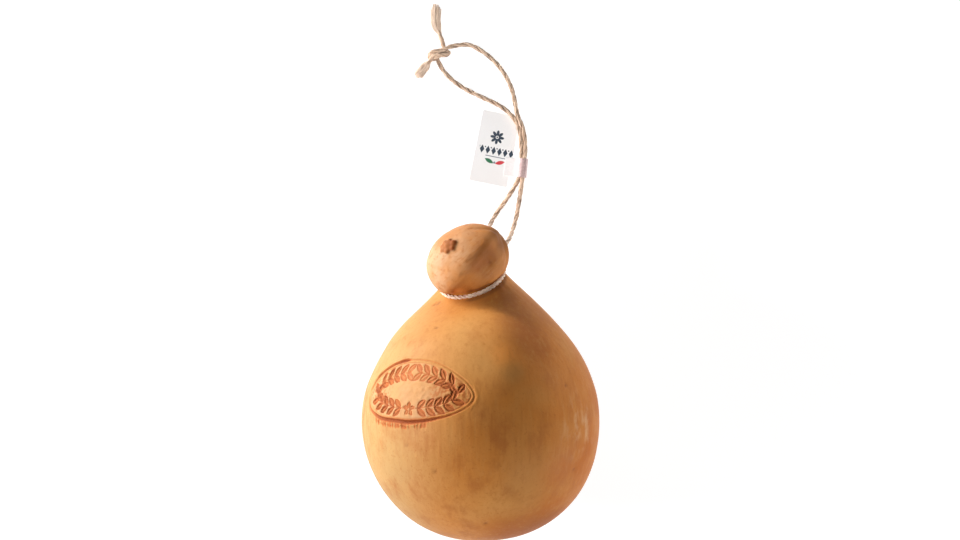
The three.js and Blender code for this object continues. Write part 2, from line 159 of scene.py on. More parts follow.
CAMERA_PLACE = (-0.00034, 0.0754, 1.610)
CAMERA_LENS = 85
TWINE_MIDDLE = (0.0, 0.190, 0.0)
BUNDLE = (0.0300, 0.1640, 0.0020)  # where the two strands lie together
UP_BRUSH = (-0.0318, 0.2590, 0.0028)
SIDE_BRUSH = (-0.0440, 0.2132, 0.0026)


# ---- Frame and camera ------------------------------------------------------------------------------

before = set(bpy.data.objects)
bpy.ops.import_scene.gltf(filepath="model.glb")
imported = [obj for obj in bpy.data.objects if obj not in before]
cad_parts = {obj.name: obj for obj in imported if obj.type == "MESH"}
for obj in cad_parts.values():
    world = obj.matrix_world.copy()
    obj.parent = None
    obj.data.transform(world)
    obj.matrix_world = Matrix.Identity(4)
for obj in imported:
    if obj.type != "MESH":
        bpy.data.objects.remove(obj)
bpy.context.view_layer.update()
scene = bpy.context.scene


def make_camera():
    data = bpy.data.cameras.new("camera")
    data.lens = CAMERA_LENS
    data.clip_end = 20
    camera = bpy.data.objects.new("camera", data)
    camera.location = CAMERA_PLACE
    scene.collection.objects.link(camera)
    scene.camera = camera


# ---- Numbers over a surface ------------------------------------------------------------------------


def rise(values):
    """0 below 0, 1 above 1, and a smooth step between."""
    t = np.clip(values, 0, 1)
    return t * t * (3 - 2 * t)


def bump(distance, spread):
    return np.exp(-((distance / spread) ** 2) / 2)


def noise_at(points, size, seed=0.0):
    """Smooth noise from -1 to 1 at each point, whose features are about that size."""
    shift = Vector((seed, -2 * seed, 3 * seed))
    return np.array([noise.noise(Vector(p) / size + shift) for p in points])


def line_distance(points, line):
    """How far each point is from a line through a list of places, seen from above, and how far along."""
    best = np.full(len(points), np.inf)
    along = np.zeros(len(points))
    for i, (a, b) in enumerate(zip(line, line[1:])):
        a, b = np.array(a), np.array(b)
        t = np.clip((points - a) @ (b - a) / ((b - a) @ (b - a)), 0, 1)
        away = np.linalg.norm(points - a - t[:, None] * (b - a), axis=1)
        near = away < best
        best[near] = away[near]
        along[near] = (i + t[near]) / (len(line) - 1)
    return best, along


# ---- The shape of the body -------------------------------------------------------------------------


def shoulder_line(count=240):
    t = np.linspace(0, 1, count)[:, None]
    a, b, c, d = (np.array(p) for p in SHOULDER_AIMS)
    return (1 - t) ** 3 * a + 3 * (1 - t) ** 2 * t * b + 3 * (1 - t) * t * t * c + t**3 * d


SHOULDER = shoulder_line()


def body_radius(along):
    """The plain body's radius at a distance along its axis."""
    share = np.clip(-along / BASE_LENGTH, 0, 1) ** BASE_FULLNESS
    base = BELLY_RADIUS * np.clip(1 - share, 0, 1) ** (1 / BASE_FULLNESS)
    return np.where(along <= 0, base, np.interp(along, SHOULDER[:, 0], SHOULDER[:, 1]))


def swelling(along, turn):
    total = np.zeros(len(along))
    for centre, angle, height, spread in SWELLINGS:
        across = 2 * np.sin((turn - angle) / 2) * float(body_radius(np.array([centre]))[0])
        total += height * bump(np.hypot(along - centre, across), spread)
    return total


def turn_about(axis, points, angle):
    cos, sin = np.cos(angle)[:, None], np.sin(angle)[:, None]
    return points * cos + np.cross(axis, points) * sin + axis * (points @ axis)[:, None] * (1 - cos)


LEAN_AXIS = np.cross([0, 1, 0], LEAN_TOWARDS)
NECK_UPRIGHT = turn_about(LEAN_AXIS, np.array([[0.0, 1, 0]]), np.array([NECK_LEAN]))[0]


def shaped(points):
    """Points of the round upright body, carried to where the swollen and leaning body has them."""
    within = np.minimum(points[:, 1], SHOULDER_LENGTH)
    x, z = points[:, 0], points[:, 2]
    swell = 1 + swelling(within, np.arctan2(x, z)) / np.maximum(np.hypot(x, z), NECK_RADIUS)
    share = np.clip((within - LEAN_START) / (SHOULDER_LENGTH - LEAN_START), 0, 1)
    angle = NECK_LEAN * share**LEAN_GROWTH
    shift = LEAN_SHIFT * body_radius(within) * np.sin(angle)
    section = turn_about(LEAN_AXIS, np.stack([x * swell, 0 * x, z * swell], 1), angle)
    section += shift[:, None] * LEAN_TOWARDS + (points[:, 1] - within)[:, None] * NECK_UPRIGHT
    section[:, 1] += within
    return section


LAY = np.array(Matrix.Rotation(-PITCH, 3, "X"))


def laid(points):
    """Points of the upright body in the model's frame."""
    return shaped(points) @ LAY.T + BELLY_CENTRE


NECK_CENTRE = Vector(laid(np.array([[0, SHOULDER_LENGTH, 0]]))[0])
NECK_DIRECTION = Vector(LAY @ NECK_UPRIGHT)
NECK_SIDE = Vector((NECK_DIRECTION.y, -NECK_DIRECTION.x, 0)).normalized()
NECK_FRONT = NECK_SIDE.cross(NECK_DIRECTION)


def frame_of(x, y, z, centre):
    """The matrix that carries X, Y and Z to three directions, and the origin to a place."""
    turn = Matrix((x, y, z)).transposed().to_4x4()
    return Matrix.Translation(centre) @ turn


# ---- The pressed oval ------------------------------------------------------------------------------

# Degrees round the oval from its right end, and how strongly each groove is pressed there.
OUTER_RING = (
    (-180, 0.25), (-168, 0.45), (-155, 0.7), (-125, 1.3), (-95, 1.6), (-75, 1.45), (-50, 0.75),
    (-25, 0.4), (10, 0.35), (40, 0.35), (70, 0.35), (98, 0.4), (102, 1.1), (106, 1.3), (120, 1.05),
    (145, 1.1), (162, 0.7), (172, 0.2), (176, 0.0), (180, 0.1),
)
INNER_RING = (
    (-180, 0.1), (-150, 0.35), (-110, 0.35), (-70, 0.4), (-40, 0.5), (-10, 0.45), (15, 0.4),
    (45, 0.2), (80, 0.3), (110, 0.45), (150, 0.4), (172, 0.2), (180, 0.1),
)
INNER_RING_IN = 0.0021
STEM_SEMI_AXES = (0.0345, 0.0118)
LEAF_LENGTH = 0.0088
LEAF_WIDTH = 0.0044
LEAF_STEP = 0.0064
LEAF_TILT = math.radians(40)
FLOWER = (0.0, -0.0122, 0.0027, 0.52)  # its middle, how far out the petals are, and their size
PRESS_DEPTH = 0.0011


def ring_strength(table, degrees):
    return np.interp(degrees, [d for d, _ in table], [s for _, s in table])


def oval_distance(u, v, semi_axes):
    """About how far each point is outside an oval, and its angle round it in degrees."""
    a, b = semi_axes
    power = 2 - (2 - STAMP_POINT) * rise(u / a * 3)
    across, up = np.maximum(np.abs(u / a), 1e-6), np.maximum(np.abs(v / b), 1e-6)
    reach = (across**power + up**power) ** (1 / power)
    slope = reach ** (1 - power) * np.hypot(across ** (power - 1) / a, up ** (power - 1) / b)
    return (reach - 1) / np.maximum(slope, 1e-6), np.degrees(np.arctan2(v / b, u / a))


def leaves():
    """The place, direction and size of each leaf of two sprigs, and of a flower's petals between them."""
    a, b = STEM_SEMI_AXES
    steps = np.radians(np.linspace(-84, 84, 400))
    line = np.stack([a * np.cos(steps), b * np.sin(steps)], 1)
    along = np.concatenate([[0], np.cumsum(np.linalg.norm(np.diff(line, axis=0), axis=1))])
    places = []
    for at in np.arange(0.003, along[-1] - 0.001, LEAF_STEP):
        u, v = (np.interp(at, along, line[:, k]) for k in (0, 1))
        ahead = [np.interp(at + 0.001, along, line[:, k]) for k in (0, 1)]
        for side in (-1, 1):
            towards = math.atan2(ahead[1] - v, ahead[0] - u) + LEAF_TILT * side
            leaf_u = u + 0.5 * LEAF_LENGTH * math.cos(towards)
            leaf_v = v + 0.5 * LEAF_LENGTH * math.sin(towards)
            places.append((leaf_u, leaf_v, towards, 1.0))
            places.append((-leaf_u, leaf_v, math.pi - towards, 1.0))
    u, v, out, size = FLOWER
    for turn in np.radians(range(18, 378, 72)):
        places.append((u + out * math.cos(turn), v + out * math.sin(turn), turn, size))
    return places


def groove(distance, width):
    """A rounded groove's depth, 1 at its middle."""
    return np.exp(-(np.abs(distance / width) ** 2.6))


def stamp_relief(u, v, points):
    """Height, ink and paleness of the pressed oval, u and v being places on its own flat map."""
    wobble = noise_at(points, 0.011, 3.1)
    fine = noise_at(points, 0.0028, 7.7)
    away, degrees = oval_distance(u, v, STAMP_SEMI_AXES)
    away += 0.0005 * wobble
    outer = ring_strength(OUTER_RING, degrees)
    inner = ring_strength(INNER_RING, degrees)
    height = -PRESS_DEPTH * outer * groove(away, 0.00040 + 0.00055 * outer)
    height -= 0.7 * PRESS_DEPTH * inner * groove(away + INNER_RING_IN, 0.00045)
    height += 0.00040 * outer * bump(away - 0.0019, 0.0007)
    height += 0.00025 * inner * bump(away + INNER_RING_IN / 2, 0.0004)
    ink = 0.9 * outer * groove(away, 0.0004 + 0.0007 * outer)
    ink = np.maximum(ink, 0.9 * inner * groove(away + INNER_RING_IN, 0.0005))
    inside = rise((-away - 0.0010) / 0.0022)
    height -= 0.00022 * inside * (1 + 0.8 * fine)

    stem, around = oval_distance(u, v, STEM_SEMI_AXES)
    stem_on = groove(stem, 0.0004) * rise((86 - np.abs(around)) / 6 + rise((np.abs(around) - 94) / 6) * 99)
    height -= 0.45 * PRESS_DEPTH * stem_on
    ink = np.maximum(ink, 0.45 * stem_on)
    for place_u, place_v, towards, size in leaves():
        du, dv = u - place_u, v - place_v
        near = np.hypot(du, dv) < LEAF_LENGTH
        if not near.any():
            continue
        p = (du[near] * math.cos(towards) + dv[near] * math.sin(towards)) / size
        q = (dv[near] * math.cos(towards) - du[near] * math.sin(towards)) / (0.3 + 0.7 * size)
        edge = LEAF_WIDTH / 2 * (1 - (2 * p / LEAF_LENGTH) ** 2) - np.abs(q) + 0.00035 * fine[near]
        pressed = rise(edge / 0.0006 + 0.35)
        rib = bump(q, 0.00028) * rise((LEAF_LENGTH * 0.42 - np.abs(p)) / 0.001)
        # The left end was pressed hardest and the middle of the top only lightly.
        firm = 0.60 + 0.50 * rise((-place_u - 0.004) / 0.02) + 0.26 * rise((place_u - 0.012) / 0.015)
        firm -= 0.15 * rise(place_v / 0.006) * bump(place_u, 0.016)
        height[near] = np.minimum(height[near], -PRESS_DEPTH * firm * pressed * (1 - 0.7 * rib))
        outline = bump(edge - 0.0002, 0.00038)
        drawn = (0.56 + 0.50 * outline - 0.12 * rib + 0.30 * fine[near] + 0.15 * wobble[near]) * pressed
        ink[near] = np.maximum(ink[near], (0.52 + 0.65 * firm) * drawn)

    # Faint marks where the stamp slipped, below the lower groove.
    slip = bump(away - 0.0029 - 0.0007 * fine, 0.0013) * rise((-v - 0.010) / 0.006) * rise((0.020 - u) / 0.01)
    smear = np.stack([u, 0.25 * v, 0 * u], 1)
    ticks = rise(0.56 + 0.4 * np.sin(u / 0.00044 + 4 * wobble) + 1.4 * noise_at(smear, 0.0030, 2.4))
    height -= 0.00035 * slip * ticks
    ink = np.maximum(ink, 0.84 * slip * ticks * rise((u + 0.038) / 0.010))
    ends = rise((u - 0.002) / 0.026) + 0.9 * rise((-u - 0.012) / 0.014)
    mottle = rise(0.45 + 1.5 * noise_at(points, 0.0015, 5.9) + 0.8 * wobble)
    ink = np.maximum(ink, (0.15 + 0.24 * ends) * inside * mottle)
    pale = inside * (0.85 + 0.3 * wobble + 0.25 * fine) * (1 - 0.65 * rise((u - 0.010) / 0.030))
    pale *= 1 - 0.30 * rise((-u - 0.008) / 0.020)
    return height, np.clip(ink, 0, 1), np.clip(pale, 0, 1)


# ---- Making pieces ---------------------------------------------------------------------------------


def coordinates(bm):
    return np.array([v.co for v in bm.verts])


def put(bm, points):
    for vertex, place in zip(bm.verts, points):
        vertex.co = place
    bm.normal_update()


def normals(bm):
    return np.array([v.normal for v in bm.verts])


def set_layer(bm, name, values):
    layer = bm.verts.layers.float.get(name) or bm.verts.layers.float.new(name)
    for vertex, value in zip(bm.verts, values):
        vertex[layer] = value


def piece(name, bm, material, smooth=True):
    """A finished bmesh as a piece that rides on the only body."""
    mesh = bpy.data.meshes.new(name)
    bm.to_mesh(mesh)
    bm.free()
    mesh.polygons.foreach_set("use_smooth", [smooth] * len(mesh.polygons))
    mesh.materials.append(material)
    made = bpy.data.objects.new(name, mesh)
    scene.collection.objects.link(made)
    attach(made, "root")
    return made


def remeshed(bm, size):
    """The overlapping closed shapes of a bmesh as one skin."""
    mesh = bpy.data.meshes.new("blank")
    bm.to_mesh(mesh)
    bm.free()
    blank = bpy.data.objects.new("blank", mesh)
    scene.collection.objects.link(blank)
    skin = blank.modifiers.new("skin", "REMESH")
    skin.mode = "VOXEL"
    skin.voxel_size = size
    made = bpy.data.meshes.new_from_object(blank.evaluated_get(bpy.context.evaluated_depsgraph_get()))
    bpy.data.objects.remove(blank)
    result = bmesh.new()
    result.from_mesh(made)
    bpy.data.meshes.remove(made)
    return result


# ---- The cheese ------------------------------------------------------------------------------------


def body_outline():
    """The upright body's outline as radius and distance along, from its pole to past the groove."""
    angle = np.linspace(math.pi / 2, 0, 400)
    power = 2 / BASE_FULLNESS
    along = [-BASE_LENGTH * np.sin(angle) ** power, SHOULDER[1:, 0], [SHOULDER_LENGTH + 0.0030]]
    radius = [BELLY_RADIUS * np.cos(angle) ** power, SHOULDER[1:, 1], [NECK_RADIUS]]
    line = np.stack([np.concatenate(radius), np.concatenate(along)], 1)
    line[0, 0] = 0
    far = np.concatenate([[0], np.cumsum(np.linalg.norm(np.diff(line, axis=0), axis=1))])
    steps = np.linspace(0, far[-1], round(far[-1] / BODY_MESH))
    return np.stack([np.interp(steps, far, line[:, 0]), np.interp(steps, far, line[:, 1])], 1)


def flat_map(points):
    """Places on the oval's flat map, for points of the upright body."""
    u = (np.arctan2(points[:, 0], points[:, 2]) - STAMP_ANGLE) * BELLY_RADIUS
    v = points[:, 1] - STAMP_HEIGHT
    cos, sin = math.cos(STAMP_TURN), math.sin(STAMP_TURN)
    u, v = u * cos + v * sin, v * cos - u * sin
    return u, v + np.where(u < 0, *STAMP_BOW) * np.minimum((u / STAMP_SEMI_AXES[0]) ** 2, 2)


def stamp_patch(points, margin):
    u, v = flat_map(points)
    return oval_distance(u, v, STAMP_SEMI_AXES)[0] < margin


def upright_body():
    """The upright body with a finer mesh under the oval."""
    bm = bmesh.new()
    outline = body_outline()
    line = [bm.verts.new((0, along, radius)) for radius, along in outline]
    edges = [bm.edges.new(pair) for pair in zip(line, line[1:])]
    bmesh.ops.spin(
        bm, geom=line + edges, cent=(0, 0, 0), axis=(0, 1, 0), angle=2 * math.pi,
        steps=BODY_TURN, use_merge=True,
    )
    bmesh.ops.remove_doubles(bm, verts=bm.verts, dist=1e-5)
    bmesh.ops.recalc_face_normals(bm, faces=bm.faces)
    inside = stamp_patch(coordinates(bm), 0.0072)
    bm.verts.index_update()
    edges = {e for f in bm.faces if all(inside[v.index] for v in f.verts) for e in f.edges}
    bmesh.ops.subdivide_edges(bm, edges=list(edges), cuts=3, use_grid_fill=True)
    bm.verts.index_update()
    points = coordinates(bm)
    fine = stamp_patch(points, 0.010)
    radius = body_radius(points[fine, 1]) / np.hypot(points[fine, 0], points[fine, 2])
    points[fine, 0] *= radius
    points[fine, 2] *= radius
    put(bm, points)
    return bm


# Each pit: distance along the body, angle round it in degrees, depth, spread.
PITS = (
    (0.0880, -65.0, 0.0010, 0.0012), (0.0865, -70.0, 0.0007, 0.0009), (0.0680, -32.5, 0.0006, 0.0010),
    (-0.0350, -24.0, 0.0006, 0.0008), (-0.0690, 4.5, 0.0006, 0.0009), (0.0210, 46.5, 0.0004, 0.0009),
    (-0.0340, 56.0, 0.0004, 0.0008), (-0.0180, -38.0, 0.0003, 0.0007), (-0.0480, 120.0, 0.0008, 0.0012),
    (0.0300, 160.0, 0.0007, 0.0011), (-0.0200, -130.0, 0.0008, 0.0012),
)
# A soft ridge runs down the shoulder from the twist in the head.
RIDGE_ANGLE = math.radians(15)
RIDGE_HEIGHT = 0.0013
RIDGE_SPREAD = 0.010


def skin_place(along, degrees):
    """A point on the plain upright body."""
    radius = float(body_radius(np.array([along]))[0])
    turn = math.radians(degrees)
    return np.array([radius * math.sin(turn), along, radius * math.cos(turn)])


def sculpt_body(bm):
    """Presses the oval, the pits and the unevenness of the curd into the upright body, and lays it down."""
    points, out = coordinates(bm), normals(bm)
    along = points[:, 1]
    height = 0.00042 * noise_at(points, 0.050, 1.3) + 0.00016 * noise_at(points, 0.016, 2.2)
    height += 0.00005 * noise_at(points * np.array([1, 0.12, 1]), 0.0030, 5.1)
    pit = np.zeros(len(points))
    for place, degrees, depth, spread in PITS:
        near = bump(np.linalg.norm(points - skin_place(place, degrees), axis=1), spread)
        height -= depth * near
        pit = np.maximum(pit, near)

    turn = np.arctan2(points[:, 0], points[:, 2])
    ridge = (turn - RIDGE_ANGLE) * body_radius(along)
    height += RIDGE_HEIGHT * bump(ridge, RIDGE_SPREAD) * rise((along + 0.002) / 0.035) * rise((0.088 - along) / 0.02)

    # The twine's groove, and the pleats that it draws the skin into.
    past = along - SHOULDER_LENGTH
    height -= GROOVE_DIP * np.exp(-((past / GROOVE_REACH) ** 4))
    pleat = np.sin(17 * turn + 2.0 * noise_at(points, 0.012, 9.0)) + 0.6 * np.sin(29 * turn + 1.0)
    height += 0.00010 * pleat * rise((past + 0.014) / 0.012)

    ink, pale = np.zeros(len(points)), np.zeros(len(points))
    patch = stamp_patch(points, 0.0070)
    u, v = flat_map(points[patch])
    relief, ink[patch], pale[patch] = stamp_relief(u, v, points[patch])
    height[patch] += relief
    points = laid(points + out * height[:, None])
    points[:, 2] = np.maximum(points[:, 2], 0)
    put(bm, points)
    set_layer(bm, "ink", ink)
    set_layer(bm, "pale", pale)
    set_layer(bm, "pit", pit)
    set_layer(bm, "button", 0 * pit)
    set_layer(bm, "head", rise((past + 0.001) / 0.003))
    # The crease layer marks painted shade on the body just under the twine, on its right side.
    set_layer(bm, "crease", bump(past + 0.0034, 0.0012) * rise((points[:, 0] + 0.016) / 0.012))


# Lines on the head, seen from above.
HEAD_RIDGE = ((0.0070, 0.0985), (0.0049, 0.0952), (-0.0036, 0.0847), (-0.0149, 0.0721), (-0.0180, 0.0690))
# Each crease: its line and how strong it is.
HEAD_CREASES = (
    (((-0.0098, 0.0799), (-0.0052, 0.0829), (-0.0010, 0.0860)), 1.0),
    (((-0.0092, 0.0822), (-0.0062, 0.0845), (-0.0036, 0.0868)), 0.6),
    (((-0.0128, 0.0728), (-0.0088, 0.0742), (-0.0050, 0.0768)), 0.8),
    (((-0.0086, 0.0752), (-0.0050, 0.0790), (-0.0014, 0.0836)), 0.5),
    (((-0.0146, 0.0686), (-0.0122, 0.0716), (-0.0108, 0.0750)), 0.5),
    (((0.0016, 0.0790), (0.0060, 0.0774), (0.0100, 0.0772)), 0.35),
    (((0.0030, 0.0872), (0.0064, 0.0902), (0.0088, 0.0942)), 0.5),
)
HEAD_FOLD = (
    (-0.0083, 0.1026), (-0.0040, 0.1028), (0.0005, 0.1028), (0.0060, 0.1018), (0.0110, 0.0990), (0.0148, 0.0940),
)
HEAD_PIT = (0.0069, 0.0800)


def head_matrix():
    side = HEAD_SIDE.normalized()
    axis = Vector((-side.y, side.x, 0)) * math.cos(HEAD_AXIS_RISE) + Vector((0, 0, math.sin(HEAD_AXIS_RISE)))
    return frame_of(side, axis, side.cross(axis), HEAD_CENTRE)


def button_frame():
    """Where the button sits on the head: X to the right and Y up, both along the head's skin."""
    local = head_matrix().to_3x3().transposed() @ BUTTON_TOWARDS
    reach = 1 / math.hypot(*(c / s for c, s in zip(local, HEAD_SEMI_AXES)))
    right = Vector((1, 0, 0)) - BUTTON_TOWARDS * BUTTON_TOWARDS.x
    right.normalize()
    return frame_of(right, BUTTON_TOWARDS.cross(right), BUTTON_TOWARDS, HEAD_CENTRE + BUTTON_TOWARDS * reach)


def head_blank():
    """The head and its button as one skin, cut off where the twine is."""
    bm = bmesh.new()
    bmesh.ops.create_icosphere(
        bm, subdivisions=5, radius=1, matrix=head_matrix() @ Matrix.Diagonal((*HEAD_SEMI_AXES, 1))
    )
    seat = button_frame()
    for right, up, out, radius in BUTTON_LOBES:
        bmesh.ops.create_icosphere(
            bm, subdivisions=3, radius=radius, matrix=seat @ Matrix.Translation((right, up, out))
        )
    bm = remeshed(bm, HEAD_MESH)
    bmesh.ops.bisect_plane(
        bm, geom=bm.verts[:] + bm.edges[:] + bm.faces[:], dist=1e-6,
        plane_co=NECK_CENTRE + NECK_DIRECTION * HEAD_CUT, plane_no=NECK_DIRECTION, clear_inner=True,
    )
    bmesh.ops.smooth_vert(bm, verts=bm.verts, factor=0.4, use_axis_x=True, use_axis_y=True, use_axis_z=True)
    return bm


def sculpt_head(bm):
    """Draws the ridge, creases, folds and pit of the twisted head."""
    points, out = coordinates(bm), normals(bm)
    seen = rise((out[:, 2] + 0.05) / 0.3)
    flat = points[:, :2]
    ridge, _ = line_distance(flat, HEAD_RIDGE)
    height = 0.0012 * bump(ridge, 0.0050) * seen
    beyond = rise((flat[:, 0] - 0.0049 + (flat[:, 1] - 0.0952) * -0.86) / 0.010)
    height -= 0.0024 * beyond * bump(ridge - 0.0125, 0.0080) * seen
    creased = np.zeros(len(points))
    for line, strength in HEAD_CREASES:
        crease, along = line_distance(flat, line)
        ends = np.sin(np.pi * np.clip(along, 0.02, 0.98)) ** 0.5 * seen * strength
        height += (0.00030 * bump(crease - 0.0014, 0.0007) - 0.00036 * bump(crease, 0.0007)) * ends
        creased = np.maximum(creased, bump(crease, 0.0010) * ends)
    fold, along = line_distance(flat, HEAD_FOLD)
    ends = np.sin(np.pi * np.clip(along, 0.02, 0.98)) ** 0.6
    height -= 0.00055 * bump(fold, 0.0006) * ends * rise((out[:, 2] + 0.3) / 0.3)
    height += 0.00018 * bump(fold - 0.0018, 0.0010) * ends * rise((out[:, 2] + 0.3) / 0.3)
    pit = bump(np.hypot(flat[:, 0] - HEAD_PIT[0], flat[:, 1] - HEAD_PIT[1]), 0.0011) * seen
    height -= 0.0006 * pit

    # The skin dips round the button, and pleats run up from the twine.
    from_button = np.linalg.norm(points - np.array(button_frame().translation), axis=1)
    height -= 0.00020 * bump(from_button - 0.0085, 0.0016)
    local = (points - np.array(HEAD_CENTRE)) @ np.array(head_matrix().to_3x3()) / np.array(HEAD_SEMI_AXES)
    button = rise((np.linalg.norm(local, axis=1) - 1.006) / 0.022) * rise((0.0092 - from_button) / 0.002)
    seat = button_frame()
    lobes = np.sort([
        np.linalg.norm(points - np.array(seat @ Vector(lobe[:3])), axis=1) - lobe[3] for lobe in BUTTON_LOBES[1:]
    ], axis=0)
    # The pit layer also takes the gaps between the button's lobes and the head's creases, and is painted as shade.
    pit = np.maximum(pit, 0.75 * button * bump(lobes[1] - lobes[0], 0.0004))
    pit = np.maximum(pit, 0.30 * creased)
    up = (points - np.array(NECK_CENTRE)) @ np.array(NECK_DIRECTION)
    around = np.arctan2((points - np.array(NECK_CENTRE)) @ np.array(NECK_SIDE),
                        (points - np.array(NECK_CENTRE)) @ np.array(NECK_FRONT))
    pleat = np.sin(15 * around + 1.5 * noise_at(points, 0.011, 4.0))
    height += 0.00025 * pleat * rise((0.012 - up) / 0.008)
    height += 0.00035 * noise_at(points, 0.014, 6.1) + 0.00016 * noise_at(points, 0.0045, 8.3)
    height += 0.00005 * noise_at(points, 0.0018, 3.3) * (1 - button)
    put(bm, points + out * height[:, None])
    zeros = np.zeros(len(points))
    set_layer(bm, "ink", zeros)
    set_layer(bm, "pale", zeros)
    set_layer(bm, "pit", 0.7 * pit)
    set_layer(bm, "button", button)
    set_layer(bm, "head", zeros + 1)
    # The crease layer marks painted shade on the head just above the twine, on its right side.
    set_layer(bm, "crease", 0.8 * bump(up - HEAD_CUT, 0.0012) * rise((points[:, 0] + 0.012) / 0.012))


def make_cheese(material):
    head = head_blank()
    sculpt_head(head)
    mesh = bpy.data.meshes.new("head")
    head.to_mesh(mesh)
    head.free()
    bm = upright_body()
    sculpt_body(bm)
    bm.from_mesh(mesh)
    bpy.data.meshes.remove(mesh)
    bmesh.ops.bridge_loops(bm, edges=[e for e in bm.edges if e.is_boundary])
    collar = [
        v for v in bm.verts
        if abs((v.co - NECK_CENTRE).dot(NECK_DIRECTION) - HEAD_CUT) < 0.0016
        and (v.co - NECK_CENTRE).length < 0.040
    ]
    for _ in range(4):
        bmesh.ops.smooth_vert(bm, verts=collar, factor=0.5, use_axis_x=True, use_axis_y=True, use_axis_z=True)
    bmesh.ops.recalc_face_normals(bm, faces=bm.faces)
    return piece("cheese_rind", bm, material)


# ---- Twine -----------------------------------------------------------------------------------------


def smooth_line(places, step):
    """Points a step apart on a smooth curve through a list of places."""
    data = np.array(places, float)
    ends = np.vstack([2 * data[0] - data[1], data, 2 * data[-1] - data[-2]])
    knots = np.concatenate([[0], np.cumsum(np.sqrt(np.linalg.norm(np.diff(ends, axis=0), axis=1)))])
    fine = []
    for i in range(1, len(ends) - 2):
        t = np.linspace(knots[i], knots[i + 1], 24, endpoint=False)[:, None]
        t0, t1, t2, t3 = knots[i - 1 : i + 3]
        p0, p1, p2, p3 = ends[i - 1 : i + 3]
        a1 = (t1 - t) / (t1 - t0) * p0 + (t - t0) / (t1 - t0) * p1
        a2 = (t2 - t) / (t2 - t1) * p1 + (t - t1) / (t2 - t1) * p2
        a3 = (t3 - t) / (t3 - t2) * p2 + (t - t2) / (t3 - t2) * p3
        b1 = (t2 - t) / (t2 - t0) * a1 + (t - t0) / (t2 - t0) * a2
        b2 = (t3 - t) / (t3 - t1) * a2 + (t - t1) / (t3 - t1) * a3
        fine.append((t2 - t) / (t2 - t1) * b1 + (t - t1) / (t2 - t1) * b2)
    fine = np.vstack([*fine, data[-1:]])
    return evenly(fine, step)


def evenly(line, step):
    far = np.concatenate([[0], np.cumsum(np.linalg.norm(np.diff(line, axis=0), axis=1))])
    steps = np.linspace(0, far[-1], max(2, round(far[-1] / step) + 1))
    return np.stack([np.interp(steps, far, line[:, k]) for k in range(3)], 1)


def carried_frames(line):
    """Matrices along a line whose Z follows it and whose X turns as little as it can."""
    ahead = np.gradient(line, axis=0)
    ahead /= np.linalg.norm(ahead, axis=1)[:, None]
    across = Vector(ahead[0]).orthogonal().normalized()
    places = []
    for place, direction in zip(line, ahead):
        z = Vector(direction)
        across = (across - z * across.dot(z)).normalized()
        places.append(frame_of(across, z.cross(across), z, Vector(place)))
    return places


def sweep(bm, places, radii, sides=10, wide=1.0, start=0.0):
    """A tube through a row of places, with its straightened fibres' coordinates kept in a layer."""
    layer = bm.verts.layers.float_vector.get("fibre") or bm.verts.layers.float_vector.new("fibre")
    radii = np.broadcast_to(radii, len(places))
    sized = [p @ Matrix.Diagonal((r, r * wide, 1, 1)) for p, r in zip(places, radii)]
    ring = bmesh.ops.create_circle(bm, segments=sides, radius=1, matrix=sized[0])["verts"]
    back = sized[0].inverted()
    for vertex in ring:
        local = back @ vertex.co
        vertex[layer] = (local.x * radii[0], local.y * radii[0] * wide, start)
    edges = list({e for v in ring for e in v.link_edges})
    first, far = edges, start
    for before, now in zip(sized, sized[1:]):
        made = bmesh.ops.extrude_edge_only(bm, edges=edges)["geom"]
        ring = [g for g in made if isinstance(g, bmesh.types.BMVert)]
        new = set(ring)
        edges = [g for g in made if isinstance(g, bmesh.types.BMEdge) and new.issuperset(g.verts)]
        bmesh.ops.transform(bm, matrix=now @ before.inverted(), verts=ring)
        length = (now.translation - before.translation).length
        far += length
        cos, sin = math.cos(YARN_TWIST * length), math.sin(YARN_TWIST * length)
        for vertex in ring:
            x, y, _ = vertex[layer]
            vertex[layer] = (x * cos - y * sin, x * sin + y * cos, far)
    bmesh.ops.holes_fill(bm, edges=first + edges, sides=sides)


def wound(line, ply, pitch, offset, phase=0.0):
    """The places along one ply of a twisted cord, which circles the cord's line once every pitch."""
    places = carried_frames(line)
    far = np.concatenate([[0], np.cumsum(np.linalg.norm(np.diff(line, axis=0), axis=1))])
    out = np.broadcast_to(offset, len(line))
    turns = 2 * math.pi * (far / pitch + ply / PLIES) + phase
    return [
        place @ Matrix.Rotation(turn, 4, "Z") @ Matrix.Translation((aside, 0, 0))
        for place, turn, aside in zip(places, turns, out)
    ]


PLIES = 2
PLY_PITCH = 0.0185
PLY_OFFSET = 0.00074
PLY_RADIUS = 0.00088
PLY_WIDE = 1.45  # a ply is pressed wide where it lies on the other
YARN_TWIST = 420.0


def make_twine(name, places, material, seed, fray):
    """A twisted cord along a route. Its plies thin out over its last stretch, in the frayed end."""
    line = smooth_line(places, 0.0007)
    far = np.concatenate([[0], np.cumsum(np.linalg.norm(np.diff(line, axis=0), axis=1))])
    opening = rise((far - (far[-1] - fray)) / fray)
    bm = bmesh.new()
    for ply in range(PLIES):
        lumps = np.array([noise.noise(Vector((at * 260, ply * 9.0, seed * 3.3))) for at in far])
        radii = PLY_RADIUS * (1 + 0.08 * lumps) * (1 - 0.75 * opening)
        offset = PLY_OFFSET * (1 - 0.9 * opening)
        sweep(bm, wound(line, ply, PLY_PITCH, offset, 0.6 * seed), radii, 10, PLY_WIDE, seed + ply * 0.37)
    return piece(name, bm, material), line


